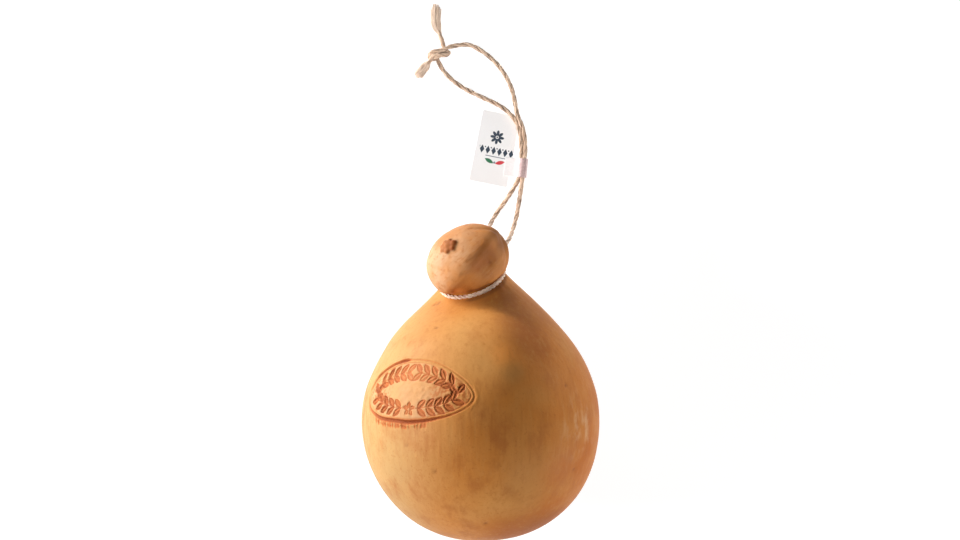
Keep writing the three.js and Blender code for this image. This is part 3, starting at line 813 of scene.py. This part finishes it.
def make_frayed_end(name, line, length, material, seed, wide=0.0034, tall=0.0013, count=80):
    """The brush of loose strands at a cut end, which lies on the floor."""
    draw = random.Random(seed)
    far = np.concatenate([[0], np.cumsum(np.linalg.norm(np.diff(line, axis=0), axis=1))])
    part = line[far > far[-1] - length]
    ahead = np.gradient(part, axis=0)
    places = []
    for place, direction in zip(part, ahead):
        z = Vector(direction).normalized()
        x = z.cross(Vector((0, 0, 1))).normalized()
        places.append(frame_of(x, z.cross(x), z, Vector(place)))
    bm = bmesh.new()
    for _ in range(count):
        angle, out = draw.uniform(0, 2 * math.pi), math.sqrt(draw.random())
        x, y = out * math.cos(angle), out * math.sin(angle)
        drift = (draw.uniform(-0.25, 0.25), draw.uniform(-0.15, 0.15))
        ends = int(len(places) * draw.uniform(0.86, 1.0) * (1 - 0.10 * abs(x) ** 3))
        strand, radii = [], []
        for i in range(0, ends, 2):
            share = i / len(places)
            spread = float(rise(np.array(share / 0.40)))
            across = (0.0009 + (wide - 0.0009) * spread) * (x + drift[0] * share)
            up = (0.0008 + (tall - 0.0008) * spread) * (y + drift[1] * share)
            wave = 0.00022 * math.sin(share * 9 + angle * 3) * spread
            place = places[i] @ Matrix.Translation((across + wave, up, 0))
            place.translation.z = max(place.translation.z, 0.0004)
            strand.append(place)
            radii.append(0.00040 * (1 - 0.45 * (i / ends) ** 4))
        sweep(bm, strand, radii, 6, 1.0, draw.uniform(0, 1))
    return piece(name, bm, material)


def make_fibres(name, line, material, count, reach, seed, part=(0.0, 1.0), length=0.006, thick=0.00006):
    """Loose fibres that stand a little off a cord."""
    draw = random.Random(seed)
    data = bpy.data.curves.new(name, "CURVE")
    data.dimensions = "3D"
    data.bevel_depth = thick
    data.bevel_resolution = 0
    places = carried_frames(line)
    for _ in range(count):
        start = int(draw.uniform(*part) * (len(line) - 2))
        steps = max(3, int(draw.uniform(0.5, 1) * length / 0.0007))
        angle, turning = draw.uniform(0, 2 * math.pi), draw.uniform(-0.25, 0.25)
        top = draw.uniform(0.4, 1) * reach
        strand = data.splines.new("POLY")
        points = []
        for i in range(0, steps + 1, 2):
            at = min(start + i, len(line) - 1)
            out = TWINE / 2 * 0.8 + top * (i / steps) ** 1.5
            local = Vector((out * math.cos(angle + turning * i), out * math.sin(angle + turning * i), 0))
            place = places[at] @ local
            place.z = max(place.z, 0.0001)
            points.append(place)
        strand.points.add(len(points) - 1)
        for point, place in zip(strand.points, points):
            point.co = (*place, 1)
            point.radius = 1.0
        strand.points[-1].radius = 0.3
    return curve_piece(name, data, material)


def curve_piece(name, data, material):
    """A curve as a mesh piece."""
    curve = bpy.data.objects.new(name + "_curve", data)
    mesh = bpy.data.meshes.new_from_object(curve)
    bpy.data.objects.remove(curve)
    bpy.data.curves.remove(data)
    bm = bmesh.new()
    bm.from_mesh(mesh)
    bpy.data.meshes.remove(mesh)
    return piece(name, bm, material)


def neck_wrap_line():
    """Two turns of twine in the groove, from the knot at the back round to it again."""
    steps = int(2 * 2 * math.pi * RING_RADIUS / 0.0007)
    points = []
    for i in range(steps + 1):
        share = i / steps
        angle = NECK_KNOT_ANGLE + 2 * (2 * math.pi) * share
        up = NECK_TURN_PITCH * (share - 0.5)
        out = NECK_SIDE * math.cos(angle) + NECK_FRONT * math.sin(angle)
        points.append(NECK_CENTRE + out * RING_RADIUS + NECK_DIRECTION * up)
    return np.array(points)


def make_neck_wrap(material):
    line = neck_wrap_line()
    bm = bmesh.new()
    for ply in range(PLIES):
        sweep(bm, wound(line, ply, 0.0068, 0.00058), 0.00056, 10, 1.30)
    return piece("neck_twine", bm, material), line


def make_neck_knot(material):
    """A small knot where the neck's twine is tied and the hanging strands leave it."""
    out = NECK_SIDE * math.cos(NECK_KNOT_ANGLE) + NECK_FRONT * math.sin(NECK_KNOT_ANGLE)
    along = out.cross(NECK_DIRECTION)
    a, b, c = NECK_KNOT_SEMI_AXES
    thick = 0.0013
    place = frame_of(
        along, out, NECK_DIRECTION, NECK_CENTRE + out * (RING_RADIUS + TWINE / 2 + 0.0003 + b)
    )
    points = []
    for i in range(121):
        t = 2 * math.pi * i / 120
        x, y, z = math.sin(t) + 2 * math.sin(2 * t), math.cos(t) - 2 * math.cos(2 * t), math.sin(3 * t)
        points.append(place @ Vector((x / 3 * (a - thick), y / 3 * (b - thick), z * (c - thick))))
    line = evenly(np.array(points), 0.0006)
    bm = bmesh.new()
    for ply in range(PLIES):
        sweep(bm, wound(line, ply, 0.009, 0.00062), 0.00078, 10, 1.2)
    return piece("neck_twine_knot", bm, material)


# ---- The label -------------------------------------------------------------------------------------


def make_label(material):
    bm = bmesh.new()
    columns, rows = 50, 84
    half_w, half_h = CARD_WIDTH / 2, CARD_HEIGHT / 2
    bmesh.ops.create_grid(
        bm, x_segments=columns, y_segments=rows, size=1, matrix=Matrix.Diagonal((half_w, half_h, 1, 1))
    )
    for vertex in bm.verts:
        x, y = abs(vertex.co.x) - (half_w - CARD_ROUND), abs(vertex.co.y) - (half_h - CARD_ROUND)
        if x > 0 and y > 0:
            pull = max(x, y) / math.hypot(x, y)
            vertex.co.x = math.copysign(half_w - CARD_ROUND + x * pull, vertex.co.x)
            vertex.co.y = math.copysign(half_h - CARD_ROUND + y * pull, vertex.co.y)
    uv = bm.loops.layers.uv.new("print")
    for face in bm.faces:
        for loop in face.loops:
            x, y = loop.vert.co.xy / PRINT_WIDTH
            loop[uv].uv = (x + PRINT_MIDDLE, y)
    place = Matrix.Translation(CARD_CORNER) @ Matrix.Rotation(CARD_TURN, 4, "Z")
    bmesh.ops.transform(bm, matrix=place @ Matrix.Translation((half_w, half_h, 0.00012)), verts=bm.verts)
    return piece("label_card", bm, material)


def make_label_band(material):
    """The paper band that folds over both strands, from the card to the floor."""
    half, top = BAND_INSIDE
    section = [(-half - inwards, CARD_THICK) for inwards in (BAND_TAB, BAND_TAB - 0.0002, 0.0012, 0.0006, 0.0002)]
    for i in range(1, 24):
        angle = math.pi * (1 - i / 24)
        across = math.copysign(abs(math.cos(angle)) ** BAND_SQUARE, math.cos(angle))
        section.append((half * across, top * math.sin(angle) ** BAND_SQUARE + 0.0001))
    section.append((half + BAND_FOOT, 0.0001))
    bm = bmesh.new()
    line = [bm.verts.new((x, 0, z)) for x, z in section]
    edges = [bm.edges.new(pair) for pair in zip(line, line[1:])]
    for _ in range(20):
        made = bmesh.ops.extrude_edge_only(bm, edges=edges)["geom"]
        ring = [g for g in made if isinstance(g, bmesh.types.BMVert)]
        edges = [e for e in made if isinstance(e, bmesh.types.BMEdge) and all(v in ring for v in e.verts)]
        bmesh.ops.translate(bm, vec=(0, BAND_LENGTH / 20, 0), verts=ring)
    place = Matrix.Translation(BAND_CENTRE) @ Matrix.Rotation(BAND_TURN, 4, "Z")
    bmesh.ops.transform(bm, matrix=place, verts=bm.verts)
    bmesh.ops.recalc_face_normals(bm, faces=bm.faces)
    made = piece("label_band", bm, material)
    wall = made.modifiers.new("thickness", "SOLIDIFY")
    wall.thickness = 0.00022
    wall.offset = 1
    return made


# ---- Materials -------------------------------------------------------------------------------------


class Value:
    """A node's output that Python arithmetic adds Math nodes to."""

    def __init__(self, finish, socket):
        self.finish = finish
        self.socket = socket

    def math(self, operation, *values):
        return self.finish.node("ShaderNodeMath", {"operation": operation}, dict(enumerate(values)))

    def __add__(self, other):
        return self.math("ADD", self, other)

    def __sub__(self, other):
        return self.math("SUBTRACT", self, other)

    def __rsub__(self, other):
        return self.math("SUBTRACT", other, self)

    def __mul__(self, other):
        return self.math("MULTIPLY", self, other)

    def __truediv__(self, other):
        return self.math("DIVIDE", self, other)

    def __pow__(self, other):
        return self.math("POWER", self, other)

    def least(self, other):
        return self.math("MINIMUM", self, other)

    def most(self, other):
        return self.math("MAXIMUM", self, other)

    def step(self, low, high):
        """0 at low, 1 at high, smooth between and flat beyond."""
        return self.finish.node(
            "ShaderNodeMapRange",
            {"interpolation_type": "SMOOTHSTEP"},
            {"Value": self, "From Min": low, "From Max": high},
        )

    __radd__ = __add__
    __rmul__ = __mul__


class Finish:
    """A material being made."""

    def __init__(self, name, **constants):
        self.material = bpy.data.materials.new(name)
        self.material.use_nodes = True
        self.tree = self.material.node_tree
        self.shader = self.tree.nodes["Principled BSDF"]
        for socket, value in constants.items():
            self.shader.inputs[socket.replace("_", " ")].default_value = value

    def node(self, kind, settings=None, values=None, output=0):
        node = self.tree.nodes.new(kind)
        for name, setting in (settings or {}).items():
            setattr(node, name, setting)
        for socket, value in (values or {}).items():
            self.feed(node.inputs[socket], value)
        return Value(self, node.outputs[output])

    def feed(self, socket, value):
        if isinstance(value, Value):
            self.tree.links.new(value.socket, socket)
        else:
            socket.default_value = value

    def place(self):
        return self.node("ShaderNodeTexCoord", output="Object")

    def parts(self, vector):
        """A vector's X, Y and Z."""
        node = self.tree.nodes.new("ShaderNodeSeparateXYZ")
        self.feed(node.inputs[0], vector)
        return [Value(self, socket) for socket in node.outputs]

    def attribute(self, name, output="Fac"):
        return self.node("ShaderNodeAttribute", {"attribute_name": name}, output=output)

    def scaled(self, vector, scale, shift=(0, 0, 0), turn=0.0):
        """Coordinates turned about Z, scaled and shifted."""
        turned = self.node("ShaderNodeMapping", None, {"Vector": vector, "Rotation": (0, 0, -turn)})
        return self.node("ShaderNodeMapping", None, {"Vector": turned, "Scale": scale, "Location": shift})

    def noise(self, vector, scale, detail=3.0, roughness=0.5, output="Fac"):
        return self.node(
            "ShaderNodeTexNoise", None,
            {"Vector": vector, "Scale": scale, "Detail": detail, "Roughness": roughness}, output,
        )

    def distance(self, vector, place):
        """How far the surface is from a place."""
        return self.node("ShaderNodeVectorMath", {"operation": "DISTANCE"}, {0: vector, 1: place}, "Value")

    def dot(self, vector, direction):
        return self.node(
            "ShaderNodeVectorMath", {"operation": "DOT_PRODUCT"}, {0: vector, 1: direction}, "Value"
        )

    def mix(self, factor, first, second, blend="MIX"):
        """Two colours mixed, each a link or three numbers."""
        node = self.tree.nodes.new("ShaderNodeMix")
        node.data_type = "RGBA"
        node.blend_type = blend
        self.feed(node.inputs[0], factor)
        for socket, value in ((node.inputs[6], first), (node.inputs[7], second)):
            self.feed(socket, value if isinstance(value, Value) else (*value, 1))
        return Value(self, node.outputs[2])

    def finish(self, colour, height=None, depth=0.001, strength=1.0, roughness=None):
        self.feed(self.shader.inputs["Base Color"], colour if isinstance(colour, Value) else (*colour, 1))
        if roughness is not None:
            self.feed(self.shader.inputs["Roughness"], roughness)
        if height is not None:
            bumped = self.node(
                "ShaderNodeBump", None, {"Height": height, "Distance": depth, "Strength": strength}
            )
            self.feed(self.shader.inputs["Normal"], bumped)
        return self.material


def srgb(red, green, blue):
    """A colour of 0 to 255 steps as the linear numbers that a shader takes."""
    steps = [c / 255 for c in (red, green, blue)]
    return tuple(c / 12.92 if c < 0.04045 else ((c + 0.055) / 1.055) ** 2.4 for c in steps)


# Linear colours of the rind: gold on one flank, amber elsewhere.
GOLD = (0.45, 0.268, 0.104)
AMBER = (0.52, 0.188, 0.037)
RUSSET = (0.40, 0.112, 0.012)
UMBER = (0.36, 0.114, 0.026)
STRAW = (0.56, 0.275, 0.084)
EMBER = (0.52, 0.162, 0.024)
SHOULDER_LIGHT = (0.75, 0.270, 0.055)
FOOT_SHADE_RED = (0.32, 0.078, 0.004)
HEAD_PINK = (0.53, 0.312, 0.172)
HEAD_BROWN = (0.43, 0.172, 0.052)
OVAL_PALE = (0.52, 0.288, 0.156)
OVAL_RED = (0.42, 0.105, 0.024)
OVAL_INK = (0.22, 0.045, 0.012)
PIT_SHADE_BROWN = (0.20, 0.060, 0.018)
BUTTON_SHADE_BROWN = (0.25, 0.066, 0.016)
BUTTON_PALE = (0.37, 0.140, 0.046)
BUTTON_SHADE_SPAN = (-0.027, -0.017)
HEAD_SHADE = (0.0042, 0.0858, 0.1125)
HEAD_SHADE_LOW = (-0.0024, 0.0795, 0.1150)
HEAD_SHADE_SIDE = (0.0052, 0.0864, 0.1120)
HEAD_ORANGE = (-0.0122, 0.0712, 0.1062)
HEAD_ORANGE_SIDE = (-0.0158, 0.0655, 0.0985)
HEAD_RIM_SHADE = (0.0140, 0.0970, 0.0985)
FOOT_SHADE = (0.0260, -0.1080, 0.0450)
HEAD_TOP = (-0.0240, 0.0975, 0.0990)
HEAD_RIDGED = (-0.0030, 0.0800, 0.1140)
HEAD_GRAIN = math.radians(43)  # the way that the head's fine wrinkles run
HEAD_SHADOW_SPOT = (0.0110, 0.0560, 0.0990)
# A dark brown that paints shade.
PAINTED_SHADE_BROWN = (0.20, 0.070, 0.018)
BLOOM_WHITE = (0.60, 0.38, 0.20)
OLIVE = (0.40, 0.200, 0.062)
DEEPER = (1.0, 0.98, 0.84)  # multiplies the colour of the right flank
LOW_RIM_SHADE = (0.84, 0.80, 0.62)  # painted shade that multiplies the colour of the right flank's lowest edge


def rind_material():
    rind = Finish("rind", Roughness=0.5, Specular_IOR_Level=0.08)
    place = rind.place()
    sides = rind.parts(place)
    patches = rind.noise(place, 16, 3, 0.55)

    def spot(middle, inner, outer):
        return 1 - rind.distance(place, middle).step(inner, outer)

    def near(along, degrees, inner, outer):
        """1 about a place on the body's skin, 0 beyond."""
        return spot(tuple(laid(skin_place(along, degrees)[None, :])[0]), inner, outer)

    # Painted shade: the flank under the right side is darker and deeper in colour than the rest.
    low_right_shade = (sides[0] * 0.95 - sides[1] * 0.3 + (patches - 0.5) * 0.02).step(0.042, 0.080)
    flank = (sides[0] + (patches - 0.5) * 0.020).step(-0.070, -0.006)
    colour = rind.mix(flank, GOLD, AMBER)
    colour = rind.mix(low_right_shade, colour, RUSSET)
    colour = rind.mix(rind.noise(place, 34, 3).step(0.36, 0.70) * 0.32, colour, STRAW)
    # Painted light on the middle of the body's top, below the neck.
    colour = rind.mix(near(0.050, 0, 0.014, 0.046) * 0.80, colour, STRAW)
    # Painted shade on the right shoulder beside the neck.
    colour = rind.mix(near(0.075, 62, 0.008, 0.030) * 0.35, colour, UMBER)
    colour = rind.mix(near(0.052, 30, 0.010, 0.040) * 0.60, colour, EMBER)
    # Painted shade: the lowest part of the rind, near the floor, is darker and deeper in colour.
    colour = rind.mix(sides[2].step(0.078, 0.018) * 0.60, colour, RUSSET)
    colour = rind.mix(spot(FOOT_SHADE, 0.008, 0.040) * 0.45, colour, UMBER)
    # Painted sheen low on the body, near its middle.
    colour = rind.mix(near(-0.052, 22, 0.008, 0.030) * 0.50, colour, STRAW)
    colour = rind.mix(near(-0.058, -3, 0.008, 0.026) * 0.35, colour, STRAW)
    # Painted light on the shoulder left of its dark band, and painted shade in the band.
    colour = rind.mix(near(0.039, 15.5, 0.003, 0.015) * 0.50, colour, SHOULDER_LIGHT)
    colour = rind.mix(near(0.050, 32, 0.004, 0.023) * 0.58, colour, UMBER)
    colour = rind.mix(near(0.068, 38, 0.003, 0.022) * 0.50, colour, UMBER)
    # Painted shade on the bottom of the right side, near the floor.
    bottom_right_shade = sides[1].step(-0.076, -0.102) * sides[0].step(-0.012, 0.022)
    colour = rind.mix(bottom_right_shade * 0.90, colour, FOOT_SHADE_RED)
    # Painted shadow of the head, on the body just below it.
    colour = rind.mix(spot(HEAD_SHADOW_SPOT, 0.006, 0.019) * 0.45, colour, PAINTED_SHADE_BROWN)
    blotches = rind.noise(rind.scaled(place, (1, 0.7, 1), (3, 1, 2)), 60, 4, 0.62).step(0.46, 0.74)
    lower = sides[1].step(0.045, -0.035)
    colour = rind.mix(blotches * (0.30 + 0.30 * lower), colour, UMBER)
    # Faint streaks run along the body, dark and pale.
    streaks = rind.noise(rind.scaled(place, (330, 22, 330)), 1, 3, 0.6)
    colour = rind.mix(streaks.step(0.50, 0.76) * 0.34, colour, UMBER)
    colour = rind.mix(streaks.step(0.50, 0.26) * 0.22, colour, STRAW)
    speckle = rind.noise(place, 620, 3, 0.6)
    colour = rind.mix(speckle.step(0.54, 0.74) * (0.20 + 0.26 * lower), colour, UMBER)
    colour = rind.mix(near(0.029, 16, 0.002, 0.012) * blotches.step(1.0, 0.0) * 0.40, colour, OLIVE)
    colour = rind.mix(near(-0.015, 9, 0.006, 0.030) * blotches * 0.18, colour, UMBER)
    colour = rind.mix(sides[0].step(-0.020, 0.030) * 0.45, colour, DEEPER, "MULTIPLY")
    colour = rind.mix(near(-0.068, 66, 0.004, 0.026), colour, LOW_RIM_SHADE, "MULTIPLY")
    bloom = near(-0.005, 56.5, 0.006, 0.030)
    flecks = rind.noise(rind.scaled(place, (1, 0.45, 1)), 150, 4, 0.6).step(0.46, 0.72)
    colour = rind.mix(bloom * flecks * 0.50, colour, BLOOM_WHITE)

    head = rind.attribute("head")
    tip = rind.mix((sides[0] + (patches - 0.5) * 0.016).step(-0.030, 0.008), HEAD_PINK, HEAD_BROWN)
    collar = spot(tuple(NECK_CENTRE), 0.022, 0.034)
    tip = rind.mix(collar * 0.8, tip, AMBER)
    tip = rind.mix(rind.noise(place, 110, 3).step(0.42, 0.70) * 0.42, tip, AMBER)
    tip = rind.mix(rind.noise(place, 300, 3).step(0.50, 0.72) * 0.48, tip, UMBER)
    lined = rind.noise(rind.scaled(place, (90, 620, 300), turn=HEAD_GRAIN), 1, 4, 0.6)
    ridged = spot(HEAD_RIDGED, 0.006, 0.020)
    tip = rind.mix(lined.step(0.50, 0.70) * (ridged * 0.40 + 0.15), tip, UMBER)
    tip = rind.mix(lined.step(0.48, 0.28) * (ridged * 0.35 + 0.10), tip, HEAD_PINK)
    tip = rind.mix(spot(HEAD_ORANGE, 0.005, 0.018) * 0.82, tip, AMBER)
    tip = rind.mix(spot(HEAD_ORANGE_SIDE, 0.004, 0.012) * 0.80, tip, AMBER)
    tip = rind.mix(spot(HEAD_TOP, 0.004, 0.015) * 0.75, tip, HEAD_BROWN)
    tip = rind.mix(spot(HEAD_SHADE, 0.004, 0.013) * 0.70, tip, UMBER)
    tip = rind.mix(spot(HEAD_SHADE_LOW, 0.002, 0.009) * 0.60, tip, UMBER)
    tip = rind.mix(spot(HEAD_SHADE_SIDE, 0.002, 0.009) * 0.42, tip, PAINTED_SHADE_BROWN)
    # Painted shade on the head's right rim.
    tip = rind.mix(spot(HEAD_RIM_SHADE, 0.004, 0.015) * 0.75, tip, PAINTED_SHADE_BROWN)
    colour = rind.mix(head, colour, tip)
    # The button is pale on its left and brown on its right: painted shade on the side away from the key light.
    button = rind.mix((sides[0] + (rind.noise(place, 420, 2) - 0.5) * 0.008).step(*BUTTON_SHADE_SPAN), BUTTON_PALE, BUTTON_SHADE_BROWN)
    colour = rind.mix(rind.attribute("button"), colour, button)

    # Painted shade in the crease along the twine.
    colour = rind.mix(rind.attribute("crease").step(0.12, 0.85) * 0.75, colour, PAINTED_SHADE_BROWN)
    pale = rind.attribute("pale")
    colour = rind.mix(pale * 0.72, colour, rind.mix(patches.step(0.4, 0.62) * 0.5, OVAL_PALE, STRAW))
    # Painted shade: darker in the pits, in the gaps between the button's lobes and along the head's creases.
    colour = rind.mix(rind.attribute("pit") * 0.7, colour, PIT_SHADE_BROWN)
    grain = rind.noise(place, 900, 3, 0.6)
    ink = rind.attribute("ink") * (grain * 0.8 + 0.6)
    colour = rind.mix(ink.step(0.10, 0.50) * 0.85, colour, OVAL_RED)
    colour = rind.mix(ink.step(0.50, 1.10) * 0.85, colour, OVAL_INK)
    height = grain * 0.3 + rind.noise(place, 240, 4, 0.55) + streaks * 0.6 + lined * head * 1.4
    return rind.finish(colour, height, 0.0004, 0.45, grain.step(0.2, 0.8) * 0.10 + 0.45)


def twine_material(name, light, dark, dark_tint, dark_tint_share, patches=()):
    """Fibres run along the yarns, in the space where they are straight."""
    twine = Finish(name, Roughness=0.85, Sheen_Weight=0.25)
    fibre = twine.attribute("fibre", "Vector")
    strands = twine.noise(twine.scaled(fibre, (2600, 2600, 160)), 1, 3, 0.65)
    tone = twine.noise(twine.scaled(fibre, (420, 420, 110)), 1, 3)
    colour = twine.mix(strands.step(0.32, 0.68), dark, light)
    # Darker patches along the yarns.
    colour = twine.mix(tone.step(0.50, 0.65) * dark_tint_share, colour, dark_tint)
    place = twine.place()
    for middle, inner, outer, share, tint in patches:
        colour = twine.mix((1 - twine.distance(place, middle).step(inner, outer)) * share, colour, tint)
    return twine.finish(colour, strands, 0.0005, 0.8)


PAPER_WHITE = srgb(244, 244, 244)
PRINT_NAVY = srgb(24, 46, 66)
PRINT_GREY = srgb(120, 130, 140)
PRINT_GREEN = srgb(16, 110, 66)
PRINT_RED = srgb(206, 44, 54)


def card_material():
    """A generic printed badge: a rosette over plain rules and three small lozenges."""
    card = Finish("label_paper", Roughness=0.5)
    uv = card.parts(card.node("ShaderNodeUVMap", {"uv_map": "print"}))
    x, y = uv[0] - 0.5, uv[1]
    fibres = card.noise(card.place(), 1800, 3)
    colour = card.mix(fibres.step(0.3, 0.8) * 0.25, PAPER_WHITE, srgb(238, 235, 236))

    def painted(distance, ink, top, edge=0.008):
        return card.mix(distance.step(edge, -edge), top, ink)

    def length(across, up):
        return (across * across + up * up) ** 0.5

    # A navy rosette of eight petals.
    dx, dy = x + 0.05, y - 0.27
    turned = dy.math("ARCTAN2", dy, dx) * 4
    petals = turned.math("ABSOLUTE", turned.math("COSINE", turned))
    reach = length(dx, dy)
    colour = painted(reach - (petals * 0.085 + 0.080), PRINT_NAVY, colour)
    colour = painted(reach - 0.036, PAPER_WHITE, colour)
    colour = painted(reach - 0.020, PRINT_NAVY, colour)

    # A row of navy lozenges with a dot between each two.
    cell = ((x + 0.42) / 0.14).math("FRACT", (x + 0.42) / 0.14) * 0.14 - 0.07
    row = y + 0.060
    sides = x.math("ABSOLUTE", x) - 0.415
    lozenge = cell.math("ABSOLUTE", cell) * 1.75 + row.math("ABSOLUTE", row) - 0.098
    colour = painted(lozenge.most(sides), PRINT_NAVY, colour)
    gap = cell.math("ABSOLUTE", cell) - 0.07
    colour = painted((length(gap, row - 0.062) - 0.017).most(sides), PRINT_NAVY, colour)

    # A thin grey rule, and a green leaf and a red leaf that hang from it.
    rule = (x.math("ABSOLUTE", x) - 0.24).most((y + 0.195).math("ABSOLUTE", y + 0.195) - 0.010)
    colour = painted(rule, PRINT_GREY, colour, 0.005)
    for side, ink in ((-1, PRINT_GREEN), (1, PRINT_RED)):
        along = (x * side - 0.13) * 0.94 + (y + 0.31) * 0.34
        across = (y + 0.31) * 0.94 - (x * side - 0.13) * 0.34
        leaf = across.math("ABSOLUTE", across) + along * along * 3.4 - 0.046
        colour = painted(leaf, ink, colour)
    colour = painted(length(x, y + 0.33) - 0.026, PRINT_GREY, colour)
    return card.finish(colour, fibres, 0.0001, 0.3)


def band_material():
    """White paper, thin and mauve where it wraps the strands."""
    band = Finish("label_band_paper", Roughness=0.45)
    place = band.place()
    fibres = band.noise(place, 900, 4)
    across = band.dot(place, BAND_ACROSS) - Vector(BAND_ACROSS).dot(BAND_CENTRE)
    white = band.mix(fibres.step(0.3, 0.8) * 0.5, PAPER_WHITE, srgb(240, 230, 230))
    mauve = band.mix(fibres.step(0.35, 0.7), srgb(194, 168, 166), srgb(168, 136, 134))
    colour = band.mix(across.step(-BAND_INSIDE[0] - 0.0004, -BAND_INSIDE[0] + 0.0003), white, mauve)
    return band.finish(colour, fibres, 0.0003, 0.4)


# ---- Room ------------------------------------------------------------------------------------------


def make_floor():
    bm = bmesh.new()
    bmesh.ops.create_grid(bm, x_segments=1, y_segments=1, size=6)
    mesh = bpy.data.meshes.new("floor")
    bm.to_mesh(mesh)
    bm.free()
    floor = bpy.data.objects.new("floor", mesh)
    scene.collection.objects.link(floor)
    paint = Finish("floor", Roughness=0.9, Specular_IOR_Level=0.1, Emission_Strength=0.88)
    paint.shader.inputs["Emission Color"].default_value = (1, 1, 1, 1)
    mesh.materials.append(paint.finish((0.35, 0.35, 0.35)))


def make_light(name, azimuth, rise_angle, away, width, height, strength, aim=(0, 0, 0.06), spread=180):
    """A soft panel that faces the aim. Strength is the light that arrives there, angles are degrees."""
    azimuth, rise_angle = math.radians(azimuth), math.radians(rise_angle)
    level = away * math.cos(rise_angle)
    place = Vector((level * math.cos(azimuth), level * math.sin(azimuth), away * math.sin(rise_angle)))
    if spread < 180:
        place += Vector(aim)
    data = bpy.data.lights.new(name, "AREA")
    data.shape = "RECTANGLE"
    data.size, data.size_y = width, height
    data.energy = strength * math.pi * away**2
    if spread < 180:
        # A narrow beam holds all of a panel's light, so it is given less.
        half = math.radians(spread / 2)
        data.spread = 2 * half
        data.energy *= 1 - half / math.tan(half)
    light = bpy.data.objects.new(name, data)
    light.location = place
    light.rotation_euler = (Vector(aim) - place).to_track_quat("-Z", "Y").to_euler()
    light.visible_camera = False
    scene.collection.objects.link(light)


def make_room():
    make_floor()
    make_light("key", 140, 2.6, 1.5, 0.75, 0.13, 4.1)
    make_light("left_high", 185, 30, 1.3, 0.35, 0.35, 2.9)
    make_light("left_low", 220, 2.6, 1.5, 0.45, 0.13, 0.6)
    make_light("right_low", 334, 2.6, 1.5, 0.50, 0.13, 1.1)
    make_light("right", 25, 5, 1.5, 0.50, 0.26, 0.7)
    make_light("front_high", 310, 35, 1.3, 0.30, 0.30, 0.8)
    make_light("twine_top", 90, 86, 1.1, 0.16, 0.16, 1.26, TWINE_MIDDLE, 20)
    world = bpy.data.worlds.new("room")
    world.use_nodes = True
    sky = world.node_tree
    background = sky.nodes["Background"]
    direction = sky.nodes.new("ShaderNodeTexCoord")
    height = sky.nodes.new("ShaderNodeSeparateXYZ")
    ramp = sky.nodes.new("ShaderNodeValToRGB")
    ramp.color_ramp.elements[0].position, ramp.color_ramp.elements[0].color = 0.05, (0.85, 0.85, 0.85, 1)
    ramp.color_ramp.elements[1].position, ramp.color_ramp.elements[1].color = 0.24, (0.04, 0.04, 0.04, 1)
    sky.links.new(direction.outputs["Generated"], height.inputs["Vector"])
    sky.links.new(height.outputs["Z"], ramp.inputs["Fac"])
    sky.links.new(ramp.outputs["Color"], background.inputs["Color"])
    scene.world = world
    scene.view_settings.view_transform = "Standard"


# ---- Building --------------------------------------------------------------------------------------

make_camera()

twine_tan = twine_material(
    "twine_fibre", srgb(234, 207, 182), srgb(184, 148, 119), srgb(106, 80, 64), 0.68,
    (
        (BUNDLE, 0.014, 0.030, 0.10, srgb(106, 80, 64)),
        (UP_BRUSH, 0.010, 0.016, 0.80, srgb(226, 196, 170)),
        (SIDE_BRUSH, 0.005, 0.009, 0.80, srgb(226, 196, 170)),
    ),
)
frayed = twine_material(
    "twine_frayed_fibre", srgb(244, 224, 204), srgb(210, 178, 152), srgb(184, 150, 126), 0.45
)
neck_pale = twine_material(
    "neck_twine_fibre", srgb(255, 242, 224), srgb(228, 188, 158), srgb(186, 106, 78), 0.70
)

places_a = list(ROUTE_A) + [tuple(KNOT_CENTRE + Vector(p)) for p in KNOT_A]
places_b = list(ROUTE_B) + [tuple(KNOT_CENTRE + Vector(p)) for p in KNOT_B]
cord_a, line_a = make_twine("hanging_twine_a", places_a, twine_tan, 1, 0.014)
cord_b, line_b = make_twine("hanging_twine_b", places_b, twine_tan, 2, 0.020)
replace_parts(cord_a, "twine_a", "tail_side")
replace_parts(cord_b, "twine_b", "tail_up", "loop_knot")
end_a = make_frayed_end("hanging_twine_a_end", line_a, 0.0165, frayed, 3)
end_b = make_frayed_end("hanging_twine_b_end", line_b, 0.0245, frayed, 4)
fibres_a = make_fibres("hanging_twine_a_fibres", line_a, twine_tan, 160, 0.0011, 5)
fibres_b = make_fibres("hanging_twine_b_fibres", line_b, twine_tan, 190, 0.0011, 6)

card = make_label(card_material())
band = make_label_band(band_material())
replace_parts(card, "tag")

neck_twine, _ = make_neck_wrap(neck_pale)
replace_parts(neck_twine, "neck_wrap")
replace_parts(make_neck_knot(neck_pale), "neck_knot")
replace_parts(make_cheese(rind_material()), "cheese")
make_room()
